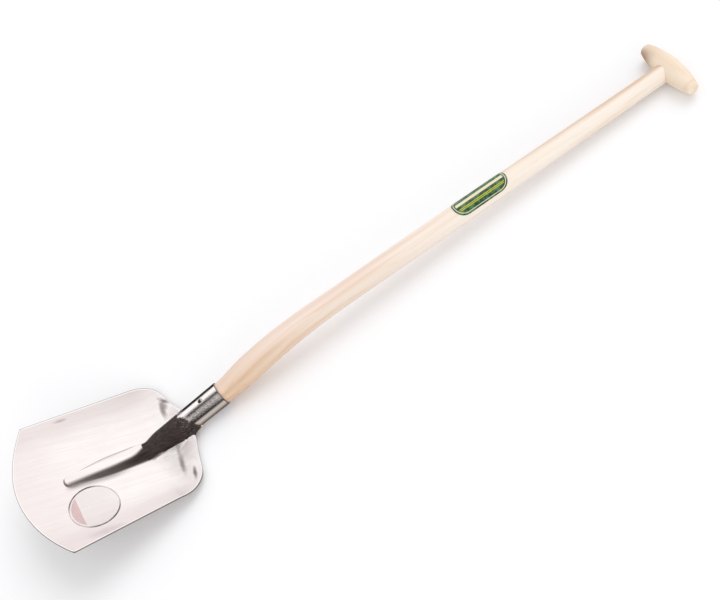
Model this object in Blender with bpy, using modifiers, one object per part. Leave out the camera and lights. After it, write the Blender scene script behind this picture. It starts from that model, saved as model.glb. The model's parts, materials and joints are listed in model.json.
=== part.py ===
"""Scoop shovel: a dished steel pan pressed in one with its rib and rolled socket,
a steam-bent ash shaft nailed into the socket, and a turned T-grip wedged on the shaft's tenon.

Everything is modelled in the pan's own frame, in metres: the origin is the middle of the
cutting edge, +Y runs back to the socket and +Z rises out of the hollow. At the end the whole
tool is laid down the way it lies on a floor, on its socket and its grip, hollow upwards.
"""

import math

import bmesh
import bpy
import numpy as np
from mathutils import Matrix, Vector

CLEARANCE = 0.0003
WELD = 0.00001

# Pan
SHEET = 0.0020
EDGE_WIDTH = 0.283
EDGE_BOW = 0.0493
SHOULDER_TO_EDGE = 0.9046
SHOULDER_WIDTH = EDGE_WIDTH * SHOULDER_TO_EDGE
SHOULDER_Y = 0.2423
SHOULDER_LENGTH = 0.0656
CORNER_LIFT = 0.0074
SHOULDER_LIFT = 0.0171
HEEL_LIFT = 0.0300
HEEL_HALF_WIDTH = 0.0315
SHOULDER_FULLNESS = 2.4
FLAT_END_TO_SHOULDER = 0.0103
FLAT_END_Y = SHOULDER_Y - FLAT_END_TO_SHOULDER
HEEL_FLOOR_LIFT = 0.0240
HEEL_SWEEP = 1.8
FLAT_SHARE = 0.40
SIDE_CURL = 1.8

# Rib on the hollow side of the pan
RIB_NOSE_Y = 0.0803
RIB_NOSE_LENGTH = 0.0150
RIB_NOSE_POWER = 2.8
RIB_NOSE_HALF_WIDTH = 0.0115
RIB_HALF_WIDTH = 0.0205
RIB_WIDENS_OVER = 0.088
RIB_NOSE_HEIGHT = 0.0058
RIB_HEIGHT = 0.0140
RIB_CLIMB = 2.4
RIB_FULL_BEFORE_FLAT_END = 0.012
RIB_RIDGE_HALF_WIDTH = 0.0098
RIB_FLANK = 1.25
RIB_CROWN = 0.16
ROOT_FILLET = 0.011

# Socket, rolled from the same sheet, open along a seam at the back
SOCKET_LENGTH = 0.0800
SOCKET_ANGLE = math.radians(29.5)
SOCKET_AXIS_ABOVE_HEEL = 0.0067
SOCKET_MOUTH_RADIUS = 0.0225
SOCKET_TAPER = 0.0125
SEAM_GAP = 0.0026
TUBE_BEGINS_BEFORE_FLAT_END = 0.014
TUBE_FULL_AFTER_FLAT_END = 0.020
HEEL_RIM_ANGLE = math.radians(100.0)
ROLL_BEGINS_AT = 0.45
SEAM_CLOSES_AT = 0.50
HEEL_FLARE_ENDS_AT = 0.31

# Shaft
SHAFT_IN_SOCKET = 0.086
SHAFT_TIP_RADIUS = 0.0150
SHAFT_TIP_LENGTH = 0.010
KNEE_ANGLE = math.radians(36.0)
KNEE_RISE = 0.020
BEND_START = 0.030
BEND_END = 0.275
STRAIGHT_ANGLE = math.radians(22.3)
SHAFT_VISIBLE = 0.9700
KNEE_RADIUS = 0.0237
KNEE_AT = 0.070
SHAFT_RADIUS = 0.0202
SHAFT_RADIUS_AT = 0.280
TAPER_START = 0.400
SHAFT_TOP_RADIUS = 0.0165
SHAFT_STEP = 0.020
SHAFT_BEVEL_RESOLUTION = 8

# T-grip
GRIP_LENGTH = 0.134
GRIP_RADIUS = 0.0208
GRIP_END_RADIUS = 0.0118
GRIP_END_ROUNDING = 0.0035
GRIP_FULLNESS = 2.2
GRIP_STEPS = 36
TENON_RADIUS = 0.0120
TENON_ROOT = 0.004
SHAFT_LET_IN = 0.0108
CUT_REACH = 1.5

# Wedge in the tenon
WEDGE_TOP = 0.0024
WEDGE_FOOT = 0.0010
WEDGE_LENGTH = 0.024
KERF_SPARE = 0.002

# Nails
NAIL_RADIUS = 0.0018
NAIL_HEAD_RADIUS = 0.0036
NAIL_HEAD_DEPTH = 0.0016
NAIL_CROWN_SHARE = 0.7
NAIL_LENGTH = 0.026
NAIL_POINT = 0.005
NAIL_PROUD = 0.0003
FRONT_NAIL_FROM_MOUTH = 0.0340
BACK_NAIL_FROM_MOUTH = 0.0200

# Labels
FILM = 0.00025
HANDLE_LABEL_LENGTH = 0.110
HANDLE_LABEL_ARC = math.radians(134.0)
HANDLE_LABEL_AT = 0.566
HANDLE_LABEL_CORNER = 0.012
PAN_LABEL_RADIUS = 0.0435
PAN_LABEL_X = 0.068
PAN_LABEL_Y = 0.110
PAN_LABEL_LIFT = 0.0004


def smoothstep(t):
    """Ease from 0 to 1 with level ends."""
    t = np.clip(t, 0.0, 1.0)
    return t * t * (3.0 - 2.0 * t)


def mix(a, b, weight):
    """Straight blend from a to b."""
    return a + (b - a) * weight


# Scene, collections and materials

def empty_scene():
    """Remove every object that the new file holds."""
    for obj in list(bpy.data.objects):
        bpy.data.objects.remove(obj, do_unlink=True)


def new_collection(name):
    """Add a collection to the scene."""
    collection = bpy.data.collections.new(name)
    bpy.context.scene.collection.children.link(collection)
    return collection


def new_material(name, colour, roughness, metallic=0.0):
    """Principled material with a plain colour."""
    material = bpy.data.materials.new(name)
    material.use_nodes = True
    shader = material.node_tree.nodes["Principled BSDF"]
    shader.inputs["Base Color"].default_value = (*colour, 1.0)
    shader.inputs["Roughness"].default_value = roughness
    shader.inputs["Metallic"].default_value = metallic
    material.diffuse_color = (*colour, 1.0)
    return material


empty_scene()
PARTS = new_collection("scoop_shovel")
CUTTERS = new_collection("cutters")

STEEL = new_material("polished_steel", (0.80, 0.76, 0.74), 0.28, 1.0)
NAIL_STEEL = new_material("bright_nail_steel", (0.62, 0.60, 0.58), 0.35, 1.0)
ASH = new_material("pale_ash", (0.80, 0.66, 0.47), 0.55)
GRIP_ASH = new_material("pale_ash_end_grain", (0.78, 0.62, 0.42), 0.55)
WEDGE_WOOD = new_material("beech_wedge", (0.60, 0.42, 0.26), 0.60)
GREEN_FILM = new_material("green_label", (0.02, 0.12, 0.07), 0.35)
CLEAR_FILM = new_material("clear_label", (0.86, 0.82, 0.81), 0.20)


# Objects, cutters and modifiers

def add_part(name, mesh, material):
    """Put a mesh in the shovel's collection under its own name."""
    obj = bpy.data.objects.new(name, mesh)
    mesh.materials.append(material)
    PARTS.objects.link(obj)
    return obj


def add_cutter(name, mesh, frame):
    """Put a cutter's mesh in the cutters' collection, placed by a matrix."""
    obj = bpy.data.objects.new(name, mesh)
    obj.hide_render = True
    obj.display_type = "WIRE"
    obj.matrix_world = frame
    CUTTERS.objects.link(obj)
    return obj


def mesh_from_faces(name, points, faces):
    """Mesh from points and faces."""
    mesh = bpy.data.meshes.new(name)
    mesh.from_pydata([tuple(point) for point in points], [], faces)
    mesh.validate()
    return mesh


def grid_faces(rows, columns):
    """Quads of a grid whose points run row by row."""
    faces = []
    for row in range(rows - 1):
        for column in range(columns - 1):
            corner = row * columns + column
            faces.append((corner, corner + 1, corner + columns + 1, corner + columns))
    return faces


def turned_mesh(name, profile, steps):
    """Turn a profile of (radius, height) points, listed from the top down, about Z."""
    mesh = bpy.data.meshes.new(name)
    points = [(radius, 0.0, height) for radius, height in profile]
    edges = [(index, index + 1) for index in range(len(points) - 1)]
    mesh.from_pydata(points, edges, [])
    obj = bpy.data.objects.new(name, mesh)
    bpy.context.scene.collection.objects.link(obj)
    screw = obj.modifiers.new("turn", "SCREW")
    screw.steps = steps
    screw.render_steps = steps
    screw.use_merge_vertices = True
    screw.merge_threshold = WELD
    screw.use_normal_calculate = True
    return evaluated_copy(obj)


def evaluated_copy(obj):
    """Take an object's evaluated mesh, weld it and remove the object."""
    bpy.context.view_layer.update()
    graph = bpy.context.evaluated_depsgraph_get()
    mesh = bpy.data.meshes.new_from_object(obj.evaluated_get(graph))
    mesh.name = obj.name
    bpy.data.objects.remove(obj, do_unlink=True)
    shape = bmesh.new()
    shape.from_mesh(mesh)
    bmesh.ops.remove_doubles(shape, verts=shape.verts, dist=WELD)
    bmesh.ops.recalc_face_normals(shape, faces=shape.faces)
    shape.to_mesh(mesh)
    shape.free()
    return mesh


def boolean(obj, cutter, operation="DIFFERENCE"):
    """Cut with or join an object, by the exact solver."""
    modifier = obj.modifiers.new(operation.lower() + "_" + cutter.name, "BOOLEAN")
    modifier.operation = operation
    modifier.solver = "EXACT"
    modifier.object = cutter


def shade_round(mesh, angle=35.0):
    """Shade a round piece smooth, with its real edges kept sharp."""
    mesh.shade_smooth()
    mesh.set_sharp_from_angle(angle=math.radians(angle))


# Axes of the socket and the shaft

AXIS = Vector((0.0, math.cos(SOCKET_ANGLE), math.sin(SOCKET_ANGLE)))
FRONT = Vector((0.0, -math.sin(SOCKET_ANGLE), math.cos(SOCKET_ANGLE)))
HEEL = Vector((0.0, SHOULDER_Y + SHOULDER_LENGTH, HEEL_LIFT + SOCKET_AXIS_ABOVE_HEEL))
MOUTH = HEEL + AXIS * SOCKET_LENGTH


def socket_radius(along):
    """Outer radius at a distance along the axis, which is 0 at the mouth and negative inside."""
    return SOCKET_MOUTH_RADIUS + SOCKET_TAPER * along


def shaft_heading(along):
    """Angle of the shaft's centre line above the pan: socket, knee, then the straight part."""
    rise = smoothstep(along / KNEE_RISE)
    fall = smoothstep((along - BEND_START) / (BEND_END - BEND_START))
    return mix(mix(SOCKET_ANGLE, KNEE_ANGLE, rise), STRAIGHT_ANGLE, fall)


def shaft_radius(along):
    """Radius of the shaft: a slow cone in the socket, a swell at the knee, then a long taper."""
    in_socket = socket_radius(np.minimum(along, 0.0)) - SHEET - CLEARANCE
    swell = mix(in_socket, KNEE_RADIUS, smoothstep(along / KNEE_AT))
    waist = mix(swell, SHAFT_RADIUS, smoothstep((along - KNEE_AT) / (SHAFT_RADIUS_AT - KNEE_AT)))
    taper = smoothstep((along - TAPER_START) / (SHAFT_VISIBLE - TAPER_START))
    return mix(waist, SHAFT_TOP_RADIUS, taper)


def shaft_line(stations):
    """Centre points at the stations: the heading is added up in short steps from the mouth."""
    fine = np.linspace(0.0, SHAFT_VISIBLE, 2000)
    middle = (fine[1:] + fine[:-1]) / 2.0
    heading = shaft_heading(middle)
    step = np.diff(fine)
    run = np.concatenate(([0.0], np.cumsum(np.cos(heading) * step)))
    lift = np.concatenate(([0.0], np.cumsum(np.sin(heading) * step)))
    inside = np.minimum(stations, 0.0)
    y = MOUTH.y + np.interp(stations, fine, run) + inside * AXIS.y
    z = MOUTH.z + np.interp(stations, fine, lift) + inside * AXIS.z
    return np.column_stack((np.zeros_like(y), y, z))


GRIP_CENTRE = Vector(shaft_line(np.array([SHAFT_VISIBLE]))[0])
TOP_AXIS = Vector((0.0, math.cos(STRAIGHT_ANGLE), math.sin(STRAIGHT_ANGLE)))


def frame_along(origin, axis, across=Vector((1.0, 0.0, 0.0))):
    """Matrix whose local Z is the axis and whose local X lies across it."""
    z_axis = axis.normalized()
    y_axis = z_axis.cross(across).normalized()
    x_axis = y_axis.cross(z_axis)
    turn = Matrix((x_axis, y_axis, z_axis)).transposed().to_4x4()
    return Matrix.Translation(origin) @ turn


# Head: pan, rib and socket in one sheet

def head_rows():
    """Stations of the loft, as the crest's distance from the cutting edge, in three spans."""
    before_nose = np.linspace(0.0, RIB_NOSE_Y - RIB_NOSE_LENGTH * 0.7, 6)
    round_nose = RIB_NOSE_Y + RIB_NOSE_LENGTH * np.array([-0.25, 0.0, 0.075, 0.16, 0.3, 0.6, 1.0])
    along_rib = np.linspace(RIB_NOSE_Y + RIB_NOSE_LENGTH * 1.7, FLAT_END_Y, 13)
    pan = np.concatenate((before_nose, round_nose, along_rib))
    shoulder = np.linspace(0.0, 1.0, 16)[1:]
    socket = np.linspace(0.0, 1.0, 17)[1:]
    return pan, shoulder, socket


def pan_rim(pan, shoulder):
    """Rim of the pan: straight flared sides from the corners, then a quarter of a superellipse
    round the shoulder."""
    side = pan / FLAT_END_Y
    turn = shoulder * math.pi / 2.0
    inward = 1.0 - np.clip(np.cos(turn), 0.0, 1.0) ** (2.0 / SHOULDER_FULLNESS)
    onward = np.sin(turn) ** (2.0 / SHOULDER_FULLNESS)
    x = np.concatenate((
        mix(EDGE_WIDTH / 2.0, SHOULDER_WIDTH / 2.0, side),
        mix(SHOULDER_WIDTH / 2.0, HEEL_HALF_WIDTH, inward),
    ))
    y = np.concatenate((
        mix(EDGE_BOW, SHOULDER_Y, side),
        SHOULDER_Y + SHOULDER_LENGTH * onward,
    ))
    z = np.concatenate((
        mix(CORNER_LIFT, SHOULDER_LIFT, side),
        mix(SHOULDER_LIFT, HEEL_LIFT, inward),
    ))
    return x, y, z


def side_lift(x, rim_x):
    """Share of the rim's lift at a place across the pan: none on the flat, then a smooth curl."""
    return np.clip((np.abs(x) / rim_x - FLAT_SHARE) / (1.0 - FLAT_SHARE), 0.0, 1.0) ** SIDE_CURL


def rib_profile(x, y, half_width):
    """Height of the rib as a share of its crest: nearly level on top out to the ridge, steep at
    the flanks, blunt at the nose."""
    forward = np.maximum(RIB_NOSE_Y + RIB_NOSE_LENGTH - y, 0.0) / RIB_NOSE_LENGTH
    power = RIB_NOSE_POWER
    reach = ((x / half_width) ** power + forward ** power) ** (1.0 / power)
    rise = np.clip((1.0 - reach) / (1.0 - RIB_RIDGE_HALF_WIDTH / half_width), 0.0, 1.0)
    crown = 1.0 - RIB_CROWN * np.minimum(reach, 1.0) ** 2
    return np.minimum(crown, rise ** RIB_FLANK)


def head_surface():
    """Right half of the sheet's outer face as a grid: rows run from cutting edge to mouth,
    columns from the crest at X = 0 out to the rim, which becomes the edge of the seam."""
    pan, shoulder, socket = head_rows()
    heel_crest_y = HEEL.y - socket_radius(-SOCKET_LENGTH) * AXIS.z
    mouth_crest_y = MOUTH.y - SOCKET_MOUTH_RADIUS * AXIS.z
    crest_y = np.concatenate((
        pan,
        mix(FLAT_END_Y, heel_crest_y, shoulder),
        mix(heel_crest_y, mouth_crest_y, socket),
    ))[:, None]
    shoulder_part = np.concatenate((pan * 0.0, shoulder, socket * 0.0 + 1.0))[:, None]
    socket_part = np.concatenate((pan * 0.0, shoulder * 0.0, socket))[:, None]
    rim_x, rim_y, rim_z = pan_rim(pan, shoulder)
    hold = np.ones_like(socket)
    rim_x = np.concatenate((rim_x, rim_x[-1] * hold))[:, None]
    rim_y = np.concatenate((rim_y, rim_y[-1] * hold))[:, None]
    rim_z = np.concatenate((rim_z, rim_z[-1] * hold))[:, None]

    sine = AXIS.z
    cosine = AXIS.y
    along = (crest_y - mouth_crest_y) / (cosine - SOCKET_TAPER * sine)
    radius = socket_radius(along)
    axis_y = MOUTH.y + along * cosine
    axis_z = MOUTH.z + along * sine
    heel_run = (crest_y - FLAT_END_Y) / (heel_crest_y - FLAT_END_Y)
    floor_z = HEEL_FLOOR_LIFT * np.clip(heel_run, 0.0, 1.0) ** HEEL_SWEEP

    # Crest to foot: the rib's hump gives way to the arc of the tube
    q = np.linspace(0.0, 1.0, 10)[None, :]
    widening = smoothstep((crest_y - RIB_NOSE_Y) / RIB_WIDENS_OVER)
    rib_half = mix(RIB_NOSE_HALF_WIDTH, RIB_HALF_WIDTH, widening)
    rib_run = FLAT_END_Y - RIB_FULL_BEFORE_FLAT_END - RIB_NOSE_Y
    climb = np.clip((crest_y - RIB_NOSE_Y) / rib_run, 0.0, 1.0)
    rib_height = mix(RIB_NOSE_HEIGHT, RIB_HEIGHT, climb ** RIB_CLIMB)
    rib_x = rib_half * q
    rib_y = crest_y + (rim_y - crest_y) * (rib_x / rim_x) ** 2
    rib_z = floor_z + rib_height * rib_profile(rib_x, crest_y, rib_half)
    foot_cosine = np.clip((floor_z - axis_z) / (radius * cosine), 0.0, 1.0)
    angle = np.arccos(foot_cosine) * q
    tube_x = radius * np.sin(angle)
    tube_y = axis_y - radius * np.cos(angle) * sine
    tube_z = axis_z + radius * np.cos(angle) * cosine
    tube_start = FLAT_END_Y - TUBE_BEGINS_BEFORE_FLAT_END
    tube_span = TUBE_BEGINS_BEFORE_FLAT_END + TUBE_FULL_AFTER_FLAT_END
    tube_share = smoothstep((crest_y - tube_start) / tube_span)
    inner = [mix(a, b, tube_share) for a, b in ((rib_x, tube_x), (rib_y, tube_y), (rib_z, tube_z))]
    foot_x, foot_y, foot_z = (values[:, -1:] for values in inner)

    # Foot to rim: the pan, with a fillet against the rib and the tube, its columns closer at the foot
    p = np.linspace(0.0, 1.0, 11)[None, 1:]
    out = p ** 1.5
    pan_x = mix(foot_x, rim_x, out)
    bowed = crest_y + (rim_y - crest_y) * (pan_x / rim_x) ** 2
    foot_bowed = crest_y + (rim_y - crest_y) * (foot_x / rim_x) ** 2
    pan_y = bowed + (foot_y - foot_bowed) * (1.0 - out)
    pan_z = floor_z + (rim_z - floor_z) * side_lift(pan_x, rim_x)
    foot_pan_z = floor_z + (rim_z - floor_z) * side_lift(foot_x, rim_x)
    pan_z = pan_z + (foot_z - foot_pan_z) * (1.0 - smoothstep((pan_x - foot_x) / ROOT_FILLET))

    # Past the heel the rim runs round the tube to the seam, with a flare that dies away
    mouth_seam = math.pi - SEAM_GAP / 2.0 / SOCKET_MOUTH_RADIUS
    closing = smoothstep(socket_part / SEAM_CLOSES_AT)
    rim_angle = mix(HEEL_RIM_ANGLE, mouth_seam, closing)
    fading = np.clip(1.0 - socket_part / HEEL_FLARE_ENDS_AT, 0.0, 1.0) ** 2
    flare = (rim_x / math.sin(HEEL_RIM_ANGLE) - radius) * fading
    roll_angle = mix(math.pi / 2.0, rim_angle, p)
    roll_radius = radius + flare * p ** 2
    roll_x = roll_radius * np.sin(roll_angle)
    roll_y = axis_y - roll_radius * np.cos(roll_angle) * sine
    roll_z = axis_z + roll_radius * np.cos(roll_angle) * cosine
    roll_share = smoothstep((shoulder_part - ROLL_BEGINS_AT) / (1.0 - ROLL_BEGINS_AT))
    outer = [mix(a, b, roll_share) for a, b in ((pan_x, roll_x), (pan_y, roll_y), (pan_z, roll_z))]

    return np.stack([np.concatenate((a, b), axis=1) for a, b in zip(inner, outer)], axis=2)


def build_head():
    """Half sheet, mirrored, then given its thickness on the back and the inside."""
    grid = head_surface()
    rows, columns = grid.shape[:2]
    grid[:, 0, 0] = 0.0
    mesh = mesh_from_faces("blade_and_socket", grid.reshape(-1, 3), grid_faces(rows, columns))
    head = add_part("blade_and_socket", mesh, STEEL)
    mirror = head.modifiers.new("other_half", "MIRROR")
    mirror.use_axis = (True, False, False)
    mirror.use_clip = True
    mirror.merge_threshold = WELD
    wall = head.modifiers.new("sheet", "SOLIDIFY")
    wall.thickness = SHEET
    wall.offset = -1.0
    wall.use_even_offset = True
    wall.use_rim = True
    shade_round(mesh, 50.0)
    return head


# Nails: the head sits in a countersink of the socket and the shank in the wood

def nail_profile(spare):
    """Turned outline of a nail, from its head down to its point, widened by the spare."""
    cone_end = -(NAIL_HEAD_DEPTH + spare)
    point_start = -(NAIL_LENGTH - NAIL_POINT)
    return [
        (0.0, NAIL_PROUD + spare),
        (NAIL_HEAD_RADIUS * NAIL_CROWN_SHARE + spare, NAIL_PROUD + spare),
        (NAIL_HEAD_RADIUS + spare, spare),
        (NAIL_HEAD_RADIUS + spare, -NAIL_PROUD),
        (NAIL_RADIUS + spare, cone_end),
        (NAIL_RADIUS + spare, point_start),
        (0.0, -(NAIL_LENGTH + spare * 2.0)),
    ]


def nail_frame(from_mouth, outward):
    """Matrix with the origin on the socket's outer face and +Z out of it."""
    centre = MOUTH - AXIS * from_mouth
    surface = centre + outward * socket_radius(-from_mouth)
    return frame_along(surface, outward)


def build_nail(name, from_mouth, outward, cut_from):
    """One nail, and the hole for it through the socket and into the shaft."""
    frame = nail_frame(from_mouth, outward)
    mesh = turned_mesh(name, nail_profile(0.0), 16)
    shade_round(mesh)
    nail = add_part(name, mesh, NAIL_STEEL)
    nail.matrix_world = frame
    hole = add_cutter(name + "_hole", turned_mesh(name + "_hole", nail_profile(CLEARANCE), 16), frame)
    for piece in cut_from:
        boolean(piece, hole)
    return nail


# Shaft: bent, tapered, with a round tenon at the top

def build_shaft():
    """Bevelled curve along the bent centre line, joined to its tenon and sawn for the wedge."""
    tip = -SHAFT_IN_SOCKET
    shoulder = GRIP_RADIUS - SHAFT_LET_IN
    stations = np.concatenate((
        [tip, tip + SHAFT_TIP_LENGTH / 2.0, tip + SHAFT_TIP_LENGTH],
        np.linspace(tip + SHAFT_TIP_LENGTH * 2.5, 0.0, 4),
        np.arange(SHAFT_STEP / 2.0, BEND_END, SHAFT_STEP),
        np.linspace(BEND_END, SHAFT_VISIBLE - shoulder - CLEARANCE, 18),
    ))
    points = shaft_line(stations)
    radii = shaft_radius(stations)
    radii[0] = SHAFT_TIP_RADIUS
    radii[1] = mix(SHAFT_TIP_RADIUS, radii[2], 0.7)
    curve = bpy.data.curves.new("handle_shaft", "CURVE")
    curve.dimensions = "3D"
    curve.bevel_depth = 1.0
    curve.bevel_resolution = SHAFT_BEVEL_RESOLUTION
    curve.use_fill_caps = True
    spline = curve.splines.new("POLY")
    spline.points.add(len(points) - 1)
    for knot, point, radius in zip(spline.points, points, radii):
        knot.co = (*point, 1.0)
        knot.radius = radius
    outline = bpy.data.objects.new("handle_shaft", curve)
    bpy.context.scene.collection.objects.link(outline)
    mesh = evaluated_copy(outline)
    mesh.materials.clear()
    shade_round(mesh)
    shaft = add_part("handle_shaft", mesh, ASH)

    root = -(shoulder + TENON_ROOT)
    profile = [
        (0.0, GRIP_RADIUS * CUT_REACH),
        (TENON_RADIUS, GRIP_RADIUS * CUT_REACH),
        (TENON_RADIUS, root),
        (0.0, root),
    ]
    tenon = add_cutter("tenon", turned_mesh("tenon", profile, 28), grip_frame())
    boolean(tenon, barrel_form(), "INTERSECT")
    boolean(shaft, tenon, "UNION")
    kerf = wedge_mesh("kerf", CLEARANCE, KERF_SPARE)
    boolean(shaft, add_cutter("kerf", kerf, wedge_frame()))
    return shaft


def grip_frame():
    """Matrix at the grip's centre with +Z out of the shaft's end."""
    return frame_along(GRIP_CENTRE, TOP_AXIS)


def wedge_frame():
    """Matrix on the tenon's end with +Z out of it."""
    return frame_along(GRIP_CENTRE + TOP_AXIS * GRIP_RADIUS, TOP_AXIS)


def barrel_frame():
    """Matrix at the grip's centre with +Z along the barrel."""
    return Matrix.Translation(GRIP_CENTRE) @ Matrix.Rotation(math.pi / 2.0, 4, "Y")


def barrel_form():
    """The grip's outer form, which trims the tenon and the wedge flush with it."""
    if "barrel_form" not in bpy.data.objects:
        add_cutter("barrel_form", turned_mesh("barrel_form", grip_profile(), GRIP_STEPS), barrel_frame())
    return bpy.data.objects["barrel_form"]


def wedge_mesh(name, spare, above):
    """Tapered box across the tenon, thin across the grip's length, widened by the spare."""
    shape = bmesh.new()
    bmesh.ops.create_cube(shape, size=1.0)
    across = TENON_RADIUS * 2.0 - CLEARANCE + above * 2.0
    top = above
    foot = -(WEDGE_LENGTH + spare)
    slope = (WEDGE_TOP - WEDGE_FOOT) / WEDGE_LENGTH
    for vertex in shape.verts:
        height = top if vertex.co.z > 0.0 else foot
        half_thickness = (WEDGE_TOP + slope * height) / 2.0 + spare
        side = math.copysign(half_thickness, vertex.co.x)
        end = math.copysign(across / 2.0, vertex.co.y)
        vertex.co = (side, end, height)
    mesh = bpy.data.meshes.new(name)
    shape.to_mesh(mesh)
    shape.free()
    return mesh


def build_wedge():
    """Wedge driven across the grain of the grip."""
    wedge = add_part("grip_wedge", wedge_mesh("grip_wedge", 0.0, 0.0), WEDGE_WOOD)
    wedge.matrix_world = wedge_frame()
    boolean(wedge, barrel_form(), "INTERSECT")
    return wedge


# T-grip

def grip_profile():
    """Barrel outline: fullest in the middle, drawn in to blunt ends with a rounded edge."""
    half = GRIP_LENGTH / 2.0
    straight = half - GRIP_END_ROUNDING
    heights = straight * np.sin(np.linspace(1.0, -1.0, 19) * math.pi / 2.0)
    radii = mix(GRIP_RADIUS, GRIP_END_RADIUS, np.abs(heights / straight) ** GRIP_FULLNESS)
    corner = np.linspace(0.0, math.pi / 2.0, 5)[1:]
    drop = GRIP_END_ROUNDING * (1.0 - np.cos(corner))
    reach = GRIP_END_ROUNDING * np.sin(corner)
    lower = list(zip(GRIP_END_RADIUS - drop, -(straight + reach)))
    upper = [(radius, -height) for radius, height in reversed(lower)]
    return [(0.0, half)] + upper + list(zip(radii, heights)) + lower + [(0.0, -half)]


def build_grip():
    """Turned barrel across the shaft, bored for the tenon and let in for the shaft's full width."""
    mesh = turned_mesh("t_grip", grip_profile(), GRIP_STEPS)
    shade_round(mesh)
    grip = add_part("t_grip", mesh, GRIP_ASH)
    grip.matrix_world = barrel_frame()
    reach = GRIP_RADIUS * CUT_REACH
    shoulder = GRIP_RADIUS - SHAFT_LET_IN
    bore = TENON_RADIUS + CLEARANCE
    seat = SHAFT_TOP_RADIUS + CLEARANCE
    profile = [
        (0.0, reach),
        (bore, reach),
        (bore, -shoulder),
        (seat, -shoulder),
        (seat, -reach),
        (0.0, -reach),
    ]
    mortise = add_cutter("mortise", turned_mesh("mortise", profile, 36), grip_frame())
    boolean(grip, mortise)
    return grip


# Labels: plain films stuck on the shaft and in the hollow

def build_handle_label():
    """Film round the front of the shaft, with round corners, following the shaft's taper."""
    half = HANDLE_LABEL_LENGTH / 2.0
    lengthwise = np.sin(np.linspace(-1.0, 1.0, 17) * math.pi / 2.0)
    crosswise = np.linspace(-1.0, 1.0, 17)
    stations = HANDLE_LABEL_AT + half * lengthwise
    centres = shaft_line(stations)
    radii = shaft_radius(stations) + CLEARANCE + FILM
    cut_in = np.maximum(np.abs(half * lengthwise) - (half - HANDLE_LABEL_CORNER), 0.0)
    corner = HANDLE_LABEL_CORNER - np.sqrt(np.maximum(HANDLE_LABEL_CORNER ** 2 - cut_in ** 2, 0.0))
    half_arc = HANDLE_LABEL_ARC / 2.0 - corner / radii
    front = Vector((0.0, -math.sin(STRAIGHT_ANGLE), math.cos(STRAIGHT_ANGLE)))
    angle = half_arc[:, None] * crosswise[None, :]
    side = (radii[:, None] * np.sin(angle))[:, :, None] * np.array((1.0, 0.0, 0.0))
    lift = (radii[:, None] * np.cos(angle))[:, :, None] * np.array(front)
    points = (centres[:, None, :] + side + lift).reshape(-1, 3)
    mesh = mesh_from_faces("handle_label", points, grid_faces(len(lengthwise), len(crosswise)))
    label = add_part("handle_label", mesh, GREEN_FILM)
    film = label.modifiers.new("film", "SOLIDIFY")
    film.thickness = FILM
    film.offset = -1.0
    return label


def pan_height(x, y):
    """Height of the hollow's face beside the rib: the loft's bowed row through the place is found
    by a few steps of the row's own rule, then its lift is read."""
    crest_y = y
    for _ in range(4):
        side = crest_y / FLAT_END_Y
        rim_x = mix(EDGE_WIDTH / 2.0, SHOULDER_WIDTH / 2.0, side)
        rim_y = mix(EDGE_BOW, SHOULDER_Y, side)
        crest_y = y - (rim_y - crest_y) * (x / rim_x) ** 2
    rim_z = mix(CORNER_LIFT, SHOULDER_LIFT, side)
    return rim_z * side_lift(x, rim_x)


def build_pan_label():
    """Round clear film in the hollow, beside the rib."""
    shape = bmesh.new()
    bmesh.ops.create_grid(shape, x_segments=14, y_segments=14, size=1.0)
    for vertex in shape.verts:
        u, v = vertex.co.x, vertex.co.y
        disc_x = u * math.sqrt(1.0 - v * v / 2.0)
        disc_y = v * math.sqrt(1.0 - u * u / 2.0)
        x = PAN_LABEL_X + PAN_LABEL_RADIUS * disc_x
        y = PAN_LABEL_Y + PAN_LABEL_RADIUS * disc_y
        vertex.co = (x, y, pan_height(x, y) + PAN_LABEL_LIFT + FILM)
    mesh = bpy.data.meshes.new("pan_label")
    shape.to_mesh(mesh)
    shape.free()
    label = add_part("pan_label", mesh, CLEAR_FILM)
    film = label.modifiers.new("film", "SOLIDIFY")
    film.thickness = FILM
    film.offset = -1.0
    return label


# Lying on the floor

def world_points(obj):
    """Evaluated points of an object as an array, in the pan's frame."""
    graph = bpy.context.evaluated_depsgraph_get()
    evaluated = obj.evaluated_get(graph)
    mesh = evaluated.to_mesh()
    points = np.empty(len(mesh.vertices) * 3)
    mesh.vertices.foreach_get("co", points)
    evaluated.to_mesh_clear()
    turn = np.array(obj.matrix_world)
    return points.reshape(-1, 3) @ turn[:3, :3].T + turn[:3, 3]


def lay_down(parts, head, grip):
    """Turn the tool about X until the head and the grip both touch the floor, then centre it."""
    bpy.context.view_layer.update()
    low = world_points(head)[:, 1:]
    high = world_points(grip)[:, 1:]
    rise = np.arctan2(high[None, :, 1] - low[:, None, 1], high[None, :, 0] - low[:, None, 0])
    tilt = rise.min(axis=1).max()
    turn = Matrix.Rotation(-float(tilt), 4, "X")
    points = np.concatenate([world_points(part) for part in parts]) @ np.array(turn)[:3, :3].T
    lowest = points.min(axis=0)
    highest = points.max(axis=0)
    pose = bpy.data.objects.new("lying_pose", None)
    PARTS.objects.link(pose)
    for part in parts:
        part.parent = pose
    for cutter in CUTTERS.objects:
        cutter.parent = pose
    pose.rotation_euler = (-float(tilt), 0.0, 0.0)
    pose.location = (0.0, -(lowest[1] + highest[1]) / 2.0, -lowest[2])
    bpy.context.view_layer.update()


def build():
    """All pieces, then the lying pose."""
    head = build_head()
    shaft = build_shaft()
    grip = build_grip()
    wedge = build_wedge()
    front_nail = build_nail("socket_nail_front", FRONT_NAIL_FROM_MOUTH, FRONT, (head, shaft))
    back_nail = build_nail("socket_nail_back", BACK_NAIL_FROM_MOUTH, -FRONT, (head, shaft))
    labels = [build_handle_label(), build_pan_label()]
    lay_down([head, shaft, grip, wedge, front_nail, back_nail] + labels, head, grip)


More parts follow.
